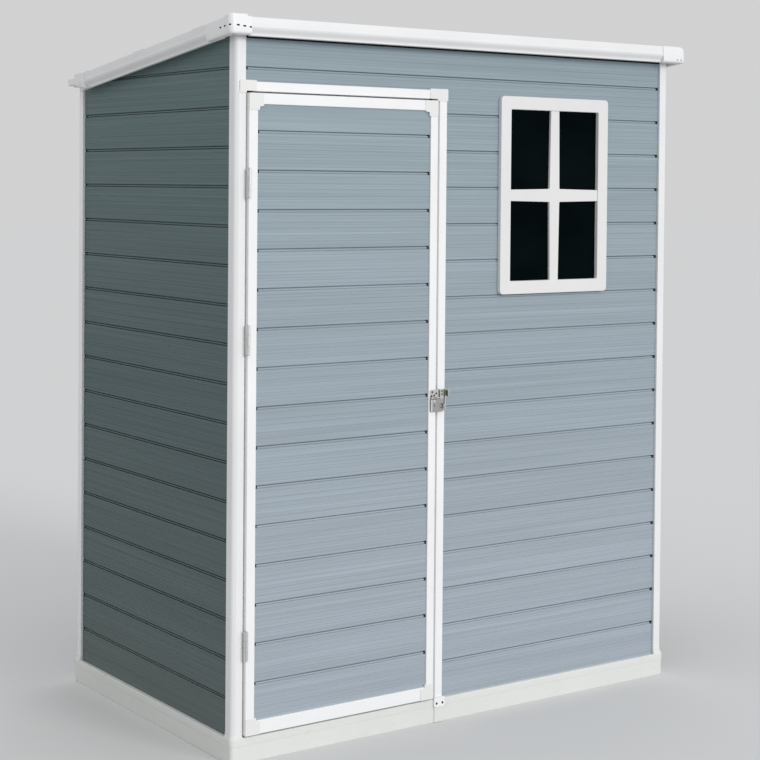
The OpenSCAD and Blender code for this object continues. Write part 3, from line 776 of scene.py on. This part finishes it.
def base_profile(inset=0.4, rise=0.0, inner=RAIL_W):
    """Section of the base: a lip along its top, then a face set back below a small step."""
    p, top = PROUD - inset, BASE_H + rise
    return [
        (PROUD - inner, top), (p - 3.0, top), (p - 1.2, top - 0.4), (p - 0.3, top - 1.4),
        (p, top - 3), (p, BASE_H - 18.5), (p - 0.5, BASE_H - 19.3), (p - 1.7, BASE_H - 19.6),
        (p - 1.7, 2.0), (p - 3.2, 0), (PROUD - inner, 0),
    ]


def wall_corner(sx, sy):
    return sx * WALL_X, FRONT_Y if sy < 0 else BACK_Y


def short_of(sx, sy, along):
    """A station of a base rail, RAIL_START short of a wall's corner."""
    cx, cy = wall_corner(sx, sy)
    if along == "x":
        return lambda o, h: (cx - sx * RAIL_START, cy + sy * o, h)
    return lambda o, h: (cx + sx * o, cy - sy * RAIL_START, h)


for tag, ends, along in (("front", ((-1, -1), (1, -1)), "x"), ("back", ((-1, 1), (1, 1)), "x"),
                         ("left", ((-1, -1), (-1, 1)), "y"), ("right", ((1, -1), (1, 1)), "y")):
    bm = bmesh.new()
    sweep(bm, base_profile(), [short_of(*e, along) for e in ends])
    make("base_" + tag, bm, BASE_MAT, SHELL, ["base_rail_" + tag])


def boot_stations(sx, sy):
    """Stations of a sweep along one side of a corner, round it, and along the other side."""
    cx, cy = wall_corner(sx, sy)
    k = POST_R + 1 - PROUD
    arms = [BOOT_ARM, POST_IN + 3]
    out = [lambda o, h, t=t: (cx + sx * o, cy - sy * t, h) for t in arms]
    for a in QUARTER:
        out.append(lambda o, h, c=math.cos(a), d=math.sin(a):
                   (cx + sx * ((o + k) * c - k), cy + sy * ((o + k) * d - k), h))
    return out + [lambda o, h, t=t: (cx - sx * t, cy + sy * o, h) for t in arms[::-1]]


def corner_plan(sx, sy, proud, inner):
    """Plan of a corner piece: proud of the walls outside, square inside."""
    cx, cy = wall_corner(sx, sy)
    return rounded([
        (cx + sx * proud, cy + sy * proud), (cx - sx * inner, cy + sy * proud),
        (cx - sx * inner, cy - sy * inner), (cx + sx * proud, cy - sy * inner),
    ], [POST_R, 1.2, 0, 1.2], 10)


CORNERS = (("front_left", -1, -1), ("front_right", 1, -1), ("back_left", -1, 1), ("back_right", 1, 1))
POST_IN = POST_S - POST_PROUD
for tag, sx, sy in CORNERS:
    cx, cy = wall_corner(sx, sy)
    bm = bmesh.new()
    sweep(bm, base_profile(0.0, 0.35, BOOT_IN), boot_stations(sx, sy))
    steps = (  # the collar round the post's foot: (height, how far it stands out)
        (BASE_H - 6, PROUD - 0.5), (BASE_H + 0.6, PROUD - 0.6), (BASE_H + 2.2, PROUD - 1.6),
        (BASE_H + 6, POST_PROUD + 1.4), (BASE_H + 13, POST_PROUD + 0.5),
        (BASE_H + 13.6, POST_PROUD + 0.1),
    )
    loft(bm, [[(x, y, z) for x, y in corner_plan(sx, sy, p, POST_IN + 0.3)] for z, p in steps])
    x, y = cx - sx * (PAD + 2), cy - sy * (PAD + 2)
    add_box(bm, (x - PAD, y - PAD, 0), (x + PAD, y + PAD, BASE_H - 0.3))
    make("corner_boot_" + tag, bm, BASE_MAT, SHELL)

# ---- Corner posts ----

for tag, sx, sy in CORNERS:
    plan = corner_plan(sx, sy, POST_PROUD, POST_IN)
    bm = bmesh.new()
    loft(bm, [
        [(x, y, BASE_H) for x, y in plan],
        [(x, y, FRONT_H / 2) for x, y in plan],
        [(x, y, FRONT_H - ROOF_GAP - (y - FRONT_Y) * math.tan(FALL)) for x, y in plan],
    ])
    # The back posts take the brighter white: painted light on a copy of the one white plastic.
    trim("post_" + tag, bm, TRIM_BRIGHT if sy > 0 else TRIM, "post_" + tag)

# ---- Floor ----

floor_lo, floor_hi = box("floor_panel")
RIB_PITCH, RIB_START, RIB_END = 46, 30, 26
FLUTE = ((-9, 0), (-7.5, 2.5), (7.5, 2.5), (9, 0))  # (position, depth)


def floor_panel():
    """The floor: flutes from front to back, which end short of its edges."""
    bm = bmesh.new()
    top = [(floor_lo.x, floor_hi.z)]
    x = floor_lo.x + RIB_START
    while x < floor_hi.x - RIB_START:
        top += [(x + dx, floor_hi.z - depth) for dx, depth in FLUTE]
        x += RIB_PITCH
    top.append((floor_hi.x, floor_hi.z))
    section = top + [(floor_hi.x, 0), (floor_lo.x, 0)]
    y0, y1 = floor_lo.y, floor_hi.y
    e0, e1 = RIB_END - 2, RIB_END + 2
    rings = []
    for y in (y0, y0 + e0, y0 + e1, (y0 + y1) / 2, y1 - e1, y1 - e0, y1):
        fluted = RIB_END < y - y0 < y1 - y0 - RIB_END
        rings.append([(x, y, z if fluted or z == 0 else floor_hi.z) for x, z in section])
    loft(bm, rings)
    make("floor_ribbed", bm, FLOOR_MAT, SHELL, ["floor_panel"], smooth=30)


floor_panel()

# ---- Door frame ----

POST_FACE = FRONT_Y - POST_PROUD
REBATE = 7  # step of the right jamb's inner edge, which the leaf covers
HEAD_DROP = 1.5


def upright(name, plan, node_name, mat):
    """A bar of one plan from the base to its node's top."""
    top = box(node_name)[1].z
    bm = bmesh.new()
    loft(bm, [[(x, y, z) for x, y in plan] for z in (BASE_H, (BASE_H + top) / 2, top)])
    trim(name, bm, mat, node_name)


upright("jamb_left", rounded([
    (jl_hi.x, POST_FACE + 3), (jl_hi.x, FRAME_Y), (jl_lo.x, FRAME_Y), (jl_lo.x, POST_FACE + 6),
], [0, 1.8, 11.5, 0], 10), "door_jamb_left", TRIM)
upright("jamb_right", rounded([
    (jr_lo.x, jr_lo.y + REBATE), (jr_lo.x + REBATE, jr_lo.y + REBATE), (jr_lo.x + REBATE, jr_lo.y),
    (jr_hi.x, jr_lo.y), (jr_hi.x, jr_hi.y), (jr_lo.x, jr_hi.y),
], [1.5, 1.0, 1.2, 1.6, 1.0, 1.0], 4), "door_jamb_right", TRIM_BRIGHT)

bm = bmesh.new()
head = rounded([
    (head_lo.y, head_lo.z - HEAD_DROP), (head_lo.y, head_hi.z), (head_hi.y, head_hi.z),
    (head_hi.y, head_lo.z - HEAD_DROP),
], [1.8, 1.8, 0.6, 0.6], 4)
loft(bm, [[(x, y, z) for y, z in head] for x in (head_lo.x, (head_lo.x + head_hi.x) / 2, head_hi.x)])
trim("header_bar", bm, TRIM_BRIGHT, "door_header")

# The header's fittings: an elbow over each corner of the frame, and a block behind it.
FIT_UP, FIT_DOWN, FIT_OUT, FIT_IN = 3.5, 6.0, 2.5, 9
hl_lo, hl_hi = box("header_fitting_left")
hr_lo, hr_hi = box("header_fitting_right")
fit_x = hl_lo.x + FIT_IN
bm = bmesh.new()
plate(bm, rounded([
    (fit_x, hl_lo.z - FIT_DOWN), (jl_hi.x + 0.6, hl_lo.z - FIT_DOWN), (jl_hi.x + 0.6, hl_lo.z - 1),
    (hl_hi.x, hl_lo.z - 1), (hl_hi.x, hl_hi.z + FIT_UP), (fit_x, hl_hi.z + FIT_UP),
], [1.2, 1.0, 0.8, 0.8, 1.2, 3.5], 4), hl_lo.y, POST_FACE + 5, 1.0)
add_box(bm, (-WALL_X + POST_IN - 2, POST_FACE, hl_lo.z), hl_hi, 0.6)
trim("header_fitting_left", bm, TRIM_CREAM, "header_fitting_left")
bm = bmesh.new()
plate(bm, rounded([
    (hr_lo.x, hr_lo.z - 1), (jr_lo.x - 0.6, hr_lo.z - 1), (jr_lo.x - 0.6, hr_lo.z - FIT_DOWN),
    (hr_hi.x + FIT_OUT, hr_lo.z - FIT_DOWN), (hr_hi.x + FIT_OUT, hr_hi.z + FIT_UP),
    (hr_lo.x, hr_hi.z + FIT_UP),
], [0.8, 0.8, 1.0, 1.6, 2.2, 1.2], 4), hr_lo.y, FRONT_Y - 0.2, 1.2)
add_box(bm, (hr_lo.x, FRONT_Y - 1, hr_lo.z), hr_hi, 0.6)
trim("header_fitting_right", bm, TRIM_CREAM, "header_fitting_right")

# Stops behind the leaf's edges close the gaps beside it and above it.
STOP_GAP, STOP_T, STOP_W = 6, 9, 12
stop_y = sl_hi.y + STOP_GAP
bm = bmesh.new()
add_box(bm, (jl_hi.x - 1, POST_FACE + 4, BASE_H), (jl_hi.x + 3, POST_FACE + 14, head_lo.z), 0.8)
add_box(bm, (jr_lo.x - STOP_W, stop_y, BASE_H), (jr_lo.x + 2, stop_y + STOP_T, head_lo.z), 1.0)
add_box(bm, (jl_hi.x + 30, stop_y, head_lo.z - STOP_W), (jr_lo.x, stop_y + STOP_T, head_lo.z + 2), 1.0)
trim("door_stops", bm, TRIM_SOFT)

# The foot of the right jamb: two lobes, each round a screw hole, over a pad on the base.
FOOT_T, FOOT_UP, LOBE_R, SCREW_IN, SCREW_R = 5, 5, 7, 8, 3.5
foot_lo, foot_hi = box("jamb_foot")
middle, foot_y = (foot_lo.x + foot_hi.x) / 2, foot_hi.y - FOOT_T
bm = bmesh.new()
plate(bm, rounded([
    (foot_lo.x, foot_lo.z), (middle - 1.5, foot_lo.z), (middle, foot_lo.z + 4),
    (middle + 1.5, foot_lo.z), (foot_hi.x, foot_lo.z), (foot_hi.x, foot_hi.z + FOOT_UP),
    (jr_hi.x + 0.4, foot_hi.z + FOOT_UP), (foot_lo.x, foot_hi.z + FOOT_UP),
], [LOBE_R, 2.6, 0.8, 2.6, LOBE_R, 2.0, 0, 0], 6), foot_y, foot_hi.y + 3, 1.6, 3)
foot = trim("jamb_foot", bm, [TRIM_BRIGHT, PAINTED_SHADE], "jamb_foot")
# Screw holes in the foot, their walls in painted shade.
bm = bmesh.new()
for x in (foot_lo.x + SCREW_IN, foot_hi.x - SCREW_IN):
    cylinder(bm, (x, foot_y, (foot_lo.z + foot_hi.z) / 2), (0, 1, 0), SCREW_R, 14, 24)
cut(foot, bm)
bm = bmesh.new()
add_box(bm, (foot_lo.x + 4, FRONT_Y - PROUD - 0.5, 1),
        (foot_hi.x - 4, FRONT_Y - PROUD + 4, foot_lo.z + 5), 0.5)
make("base_pad", bm, BASE_MAT, SHELL)

# ---- Door leaf ----


def leaf_bar(name, node_name, lo, hi, r=1.9):
    bm = bmesh.new()
    add_box(bm, lo, hi, r, 3)
    make(name, bm, TRIM_BRIGHT, DOOR, [node_name])


# How far the leaf's trim reaches past its nodes: at the left, below, and the rails into the stiles.
LEFT_LIP, FOOT_DROP, LAP = 2.0, 3.5, 2
RAIL_TRIM = 4  # the top rail is this much narrower than its node
for tag, lip in (("left", LEFT_LIP), ("right", 0)):
    lo, hi = box("door_stile_" + tag)
    leaf_bar("stile_" + tag, "door_stile_" + tag, lo - Vector((lip, 0, FOOT_DROP)), hi, 1.3)
for tag, shift in (("top", RAIL_TRIM), ("bottom", -FOOT_DROP)):
    lo, hi = box("door_rail_" + tag)
    leaf_bar("rail_" + tag, "door_rail_" + tag, lo + Vector((-LAP, 0, shift)), hi + Vector((LAP, 0, 0)))

# Elbows at the leaf's corners, for each side: width and height of the arms, and their reach.
ELBOWS = ((31, 34, 43), (29, 32, 43))
ELBOW_LIP = 2.2
elbow_lo, elbow_hi = box("door_corner_fittings")
bm = bmesh.new()
for sx, (wide, tall, reach) in enumerate(ELBOWS):
    for sz in (0, 1):
        ox, kx = (elbow_hi.x, -1) if sx else (elbow_lo.x - ELBOW_LIP, 1)
        oz, kz = (elbow_hi.z, -1) if sz else (elbow_lo.z - FOOT_DROP, 1)
        ring = [(0, 0), (reach, 0), (reach, tall - 2), (wide + 3, tall), (wide, tall + 1),
                (wide, reach), (0, reach)]
        plate(bm, rounded([(ox + kx * a, oz + kz * b) for a, b in ring], [2.5, 1, 1, 1, 1, 1, 1], 4),
              elbow_lo.y, LEAF_Y + 4, 0.9)
make("door_elbows", bm, TRIM_CREAM, DOOR, ["door_corner_fittings"])

# ---- Hinges ----


def dress(node_name, material):
    """Gives a CAD node that stays in view its finished material."""
    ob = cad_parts[node_name]
    ob.data.materials.clear()
    ob.data.materials.append(material)


dress("hinge_frame_leaves", ZINC_LIGHT)
dress("hinge_door_leaves", ZINC_LIGHT)
dress("hinge_pins", ZINC)
pin_lo, pin_hi = box("hinge_pins")
hinge_x, hinge_y = (pin_lo.x + pin_hi.x) / 2, (pin_lo.y + pin_hi.y) / 2
HINGE_L, HINGE_INSET, HINGE_DROP = 74, 227, 396
PIN_HEAD_R, PIN_HEAD_T = 2.9, 1.2
bm = bmesh.new()
for z in (sl_lo.z + HINGE_INSET, sl_hi.z - HINGE_INSET - HINGE_DROP, sl_hi.z - HINGE_INSET):
    for k in (-1, 1):
        middle = z + k * (HINGE_L / 2 + PIN_HEAD_T / 2)
        cylinder(bm, (hinge_x, hinge_y, middle), (0, 0, k), PIN_HEAD_R, PIN_HEAD_T, r2=PIN_HEAD_R - 0.5)
make("hinge_pin_heads", bm, ZINC, SHELL)

# ---- Hasp ----

hb_lo, hb_hi = box("hasp_base")
hf_lo, hf_hi = box("hasp_flap")
hc_lo, hc_hi = box("hasp_catch")
hp_lo, hp_hi = box("hasp_pin")
PLATE_T, KNUCKLE_R, STAPLE_W, STAPLE_DROP = 2.0, 2.6, 4, 21
PLATE_Y = LEAF_Y - PLATE_T
HASP_SCREWS = ((7.0, 16.5, 0.3), (20.5, 12.4, 1.0), (13.6, 7.2, 0.7))  # x, z from the pin, turn
CATCH_SCREWS = (9, 17.5)  # heights over the pin
pin_y, pin_z = (hp_lo.y + hp_hi.y) / 2, (hp_lo.z + hp_hi.z) / 2
dress("hasp_pin", ZINC_DARK)


def screw(bm, x, y, z, r, turn):
    """A low screw head with a cross slot in painted shade, turned by an angle. Its seat is at y."""
    cylinder(bm, (x, y - 0.25, z), (0, -1, 0), r, 0.7, 20, 1, r * 0.86)
    slot = rect(-r * 0.62, r * 0.62, -0.32, 0.32)
    for a in (turn, turn + math.pi / 2):
        d, e = Vector((math.cos(a), 0, math.sin(a))), Vector((-math.sin(a), 0, math.cos(a)))
        prism(bm, slot, lambda p, q, t: Vector((x, y - t, z)) + d * p + e * q, 0.3, 0.72, 2)


# The plate on the leaf, with its two knuckles, three screws and a disc of painted shade for a hole.
bm = bmesh.new()
plate(bm, rounded(rect(hb_lo.x, hb_hi.x, pin_z + 1.6, hb_hi.z), [0.4, 0.4, 2.6, 2.6], 5),
      PLATE_Y, LEAF_Y, 0.5)
third = (hb_hi.x - hb_lo.x) / 3
for x in (hb_lo.x, hb_hi.x - third):
    cylinder(bm, (x + third / 2, pin_y, pin_z), (1, 0, 0), KNUCKLE_R, third, 24)
    add_box(bm, (x, pin_y, pin_z + 0.2), (x + third, LEAF_Y, pin_z + KNUCKLE_R))
for x, z, turn in HASP_SCREWS:
    screw(bm, hb_lo.x + x, PLATE_Y, pin_z + z, 2.9, turn)
cylinder(bm, (hb_lo.x + 4.4, PLATE_Y - 0.1, pin_z + 5.2), (0, -1, 0), 3.0, 0.5, 20, 2)
make("hasp_base", bm, [ZINC_PLATE, ZINC_DARK, PAINTED_SHADE], DOOR, ["hasp_base"], 35)

# The flap, with its middle knuckle, two raised pressings whose lighter zinc paints their highlights,
# and holes for the staple and a rivet, their walls in painted shade.
y0, y1 = pin_y - PLATE_T / 2, pin_y + PLATE_T / 2
flap_top, flap_x1 = pin_z - KNUCKLE_R - 0.6, hf_hi.x - 4.6
bm = bmesh.new()
plate(bm, rounded(rect(hf_lo.x, flap_x1, hf_lo.z, flap_top), [3.2, 3.2, 1.2, 1.2], 5), y0, y1, 0.5)
cylinder(bm, (hb_lo.x + 1.5 * third, pin_y, pin_z), (1, 0, 0), KNUCKLE_R, third - 0.6, 24)
add_box(bm, (hb_lo.x + third + 0.3, y0, flap_top - 0.5), (hb_lo.x + 2 * third - 0.3, y1, pin_z))
plate(bm, rounded(rect(hf_lo.x + 0.4, hf_lo.x + 4.4, hf_lo.z + 1.4, flap_top - 0.6), 1.2, 4),
      y0 - 0.9, y0 + 0.4, 0.5, 2, 1)
plate(bm, rounded(rect(hf_lo.x + 8, hf_lo.x + 15, flap_top - 7.5, flap_top - 2.5), 1.8, 4),
      y0 - 0.6, y0 + 0.4, 0.4, 2, 1)
flap = make("hasp_flap", bm, [ZINC_FLAP, ZINC_LIGHT, PAINTED_SHADE], FLAP, ["hasp_flap"], 35)
staple_x, staple_z = hc_lo.x + STAPLE_W, pin_z - STAPLE_DROP
bm = bmesh.new()
prism(bm, rounded(rect(staple_x - 3.0, staple_x + 3.0, staple_z - 8, staple_z + 7), 2.6, 5),
      lambda a, b, t: (a, t, b), y0 - 3, y1 + 3)
cylinder(bm, (hf_lo.x + 11.5, y0, hf_lo.z + 17), (0, 1, 0), 1.7, 1.4, 20)
cut(flap, bm)

# The catch: a bent plate on the jamb, level with the leaf, and an angle whose leg stands out as an ear.
EAR_T, FOOT_W, SLIT = 2.0, 5.4, 2.8
foot_x, ear_x = hc_hi.x - FOOT_W, hc_hi.x - EAR_T
plate_x1 = foot_x - SLIT
bm = bmesh.new()
plate(bm, rounded(rect(hc_lo.x, plate_x1, hc_lo.z, hc_hi.z), 2.6, 5), PLATE_Y, LEAF_Y, 0.5)
add_box(bm, (hc_lo.x + 0.8, LEAF_Y - 0.2, hc_lo.z + 1),
        (hc_hi.x - 0.4, FRAME_Y + 0.5, hc_hi.z - 1), 0.5)
plate(bm, rounded(rect(foot_x, hc_hi.x, hc_lo.z, hc_hi.z), [1.2, 1.2, 1.2, 2.0], 4),
      PLATE_Y, LEAF_Y, 0.5)
# A block of painted shade fills the slit between the plate and the foot.
add_box(bm, (plate_x1 - 0.2, LEAF_Y - 0.6, pin_z - 18),
        (foot_x + 0.2, LEAF_Y + 0.5, hc_hi.z - 0.8), mat=2)
ear_z0, ear_z1, ear_y = pin_z + 3.5, hc_hi.z - 0.5, hc_lo.y + 2.4
ear = rounded([(LEAF_Y - 0.5, ear_z0), (LEAF_Y - 0.5, ear_z1), (ear_y, ear_z1), (ear_y, ear_z0)],
              [0, 0, 3, 3], 5)
prism(bm, ear, lambda a, b, t: (t, a, b), ear_x, hc_hi.x, 4)
plate(bm, rounded(rect(ear_x - 1.4, ear_x + 0.2, ear_z0 + 1.5, ear_z1 - 3.5), 0.6, 3),
      ear_y + 4.5, PLATE_Y - 3, 0.5, 2, 3)
for dz in CATCH_SCREWS:
    screw(bm, (hc_lo.x + plate_x1) / 2, PLATE_Y, pin_z + dz, 2.6, 0.4 + dz)
# The staple: a bent wire whose legs stand one over the other. Its path is (height, depth, turn).
LEG, REACH, WIRE = 5.2, 14.1, 1.7
path = [(staple_z + LEG, LEAF_Y - 0.5, 0.0)]
for a in (math.pi * i / 16 for i in range(17)):
    path.append((staple_z + LEG * math.cos(a), PLATE_Y - (REACH - LEG) - LEG * math.sin(a), a))
path.append((staple_z - LEG, LEAF_Y - 0.5, math.pi))
turns = [math.tau * k / 10 for k in range(10)]
loft(bm, [[(staple_x + WIRE * math.cos(b), y - WIRE * math.sin(b) * math.sin(a),
            z + WIRE * math.sin(b) * math.cos(a)) for b in turns] for z, y, a in path])
make("hasp_catch", bm, [ZINC_PLATE, ZINC_DARK, PAINTED_SHADE, BRASS, ZINC_LIGHT], SHELL,
     ["hasp_catch"], 35)

# ---- Window ----

BORDER, BAR_SINK = 37, 3.4  # width of the frame, and how far its bars lie behind its face


def window_ring(inset, y, r):
    return [(x, y, z) for x, z in rounded(
        rect(win_lo.x + inset, win_hi.x - inset, win_lo.z + inset, win_hi.z - inset), r, 8)]


bm = bmesh.new()
front = win_lo.y
loft(bm, [
    window_ring(0, FRONT_Y, 12), window_ring(0, front + 1.8, 12), window_ring(0.5, front + 0.6, 11.5),
    window_ring(1.8, front, 10.5), window_ring(BORDER - 2.6, front + 0.3, 5.5),
    window_ring(BORDER - 0.8, front + 0.9, 4.5), window_ring(BORDER, front + 2.4, 4),
    window_ring(BORDER, FRONT_Y, 4),
], closed=True)
trim("window_ring", bm, TRIM_SOFT, "window_frame")

# A cross of bars, wider where they meet: half widths at the ends and in the middle.
BAR_X, BAR_Z, BAR_MIDDLE = 15.5, 16.0, 18.5
wx, wz = (win_lo.x + win_hi.x) / 2, (win_lo.z + win_hi.z) / 2
half_w, half_h = (win_hi.x - win_lo.x) / 2 - BORDER + 1, (win_hi.z - win_lo.z) / 2 - BORDER + 1
quarter = [(BAR_X, half_h), (BAR_MIDDLE, BAR_MIDDLE), (half_w, BAR_Z)]
ring = quarter + [(x, -z) for x, z in reversed(quarter)]
ring += [(-x, -z) for x, z in quarter] + [(-x, z) for x, z in reversed(quarter)]
bm = bmesh.new()
plate(bm, rounded([(wx + x, wz + z) for x, z in ring], [0, 3, 0] * 4, 4),
      front + BAR_SINK, FRONT_Y, 1.4, 3)
trim("window_bars", bm, TRIM_SOFT)
dress("window_pane", SHEET)
dress("window_inner_trim", TRIM_SOFT)

# ---- Stage, light and camera ----


def shader(tree):
    """Clears a node tree and gives it a mix of two shaders: (mix, link)."""
    tree.nodes.clear()
    return node(tree, "ShaderNodeMixShader"), tree.links.new


GROUND_SEEN, GROUND_UNSEEN = (0.72, 0.72, 0.72, 1), (0.55, 0.55, 0.55, 1)
PALE, SKY, SKY_STRENGTH = (0.64, 0.64, 0.64, 1), (0.98, 0.99, 1.0, 1), 0.78
ground_mat = bpy.data.materials.new("ground")
ground_mat.use_nodes = True
tree = ground_mat.node_tree
blend, link = shader(tree)
link(node(tree, "ShaderNodeLightPath").outputs["Is Camera Ray"], blend.inputs[0])
link(node(tree, "ShaderNodeBsdfDiffuse", Color=GROUND_UNSEEN).outputs[0], blend.inputs[1])
link(node(tree, "ShaderNodeBsdfDiffuse", Color=GROUND_SEEN).outputs[0], blend.inputs[2])
link(blend.outputs[0], node(tree, "ShaderNodeOutputMaterial").inputs["Surface"])
bm = bmesh.new()
bmesh.ops.create_grid(bm, x_segments=2, y_segments=2, size=60)
me = bpy.data.meshes.new("ground")
bm.to_mesh(me)
bm.free()
me.materials.append(ground_mat)
ground = bpy.data.objects.new("ground", me)
bpy.context.scene.collection.objects.link(ground)

# The camera, glossy rays and light through the sheet see a pale backdrop, and all else sees the sky.
world = bpy.data.worlds.new("studio")
bpy.context.scene.world = world
world.use_nodes = True
tree = world.node_tree
both, link = shader(tree)
path = node(tree, "ShaderNodeLightPath")
gloss = node(tree, "ShaderNodeMath", operation="MAXIMUM")
link(path.outputs["Is Glossy Ray"], gloss.inputs[0])
link(path.outputs["Is Transmission Ray"], gloss.inputs[1])
shown = node(tree, "ShaderNodeMath", operation="MAXIMUM")
link(path.outputs["Is Camera Ray"], shown.inputs[0])
link(gloss.outputs[0], shown.inputs[1])
link(shown.outputs[0], both.inputs[0])
sky = node(tree, "ShaderNodeBackground", Color=SKY, Strength=SKY_STRENGTH)
link(sky.outputs[0], both.inputs[1])
link(node(tree, "ShaderNodeBackground", Color=PALE, Strength=1.0).outputs[0], both.inputs[2])
link(both.outputs[0], node(tree, "ShaderNodeOutputWorld").inputs["Surface"])

lamp = bpy.data.lights.new("key", "SUN")
lamp.energy = 1.35
lamp.angle = math.radians(24)
key = bpy.data.objects.new("key", lamp)
key.rotation_euler = Vector((0.22, -0.93, 0.27)).to_track_quat("Z", "Y").to_euler()
bpy.context.scene.collection.objects.link(key)

# The camera, as fitted to the photo: its place from the front wall's left end, and its turns.
EYE = (-WALL_X - 2209.5, FRONT_Y - 3777.8, 1471.7)
YAW, PITCH_DOWN, ROLL = (math.radians(a) for a in (35.08, -1.27, 0.48))
cam = bpy.data.cameras.new("camera")
cam.sensor_width = 36
cam.lens = 82.25
cam.shift_y = -0.2075
cam.clip_end = 200
camera = bpy.data.objects.new("camera", cam)
turn = Matrix.Rotation(-YAW, 3, "Z") @ Matrix.Rotation(math.pi / 2 + PITCH_DOWN, 3, "X")
turn = turn @ Matrix.Rotation(ROLL, 3, "Z")
camera.matrix_world = Matrix.Translation(Vector(EYE) * MM) @ turn.to_4x4()
bpy.context.scene.collection.objects.link(camera)
bpy.context.scene.camera = camera
bpy.context.scene.view_settings.view_transform = "Standard"
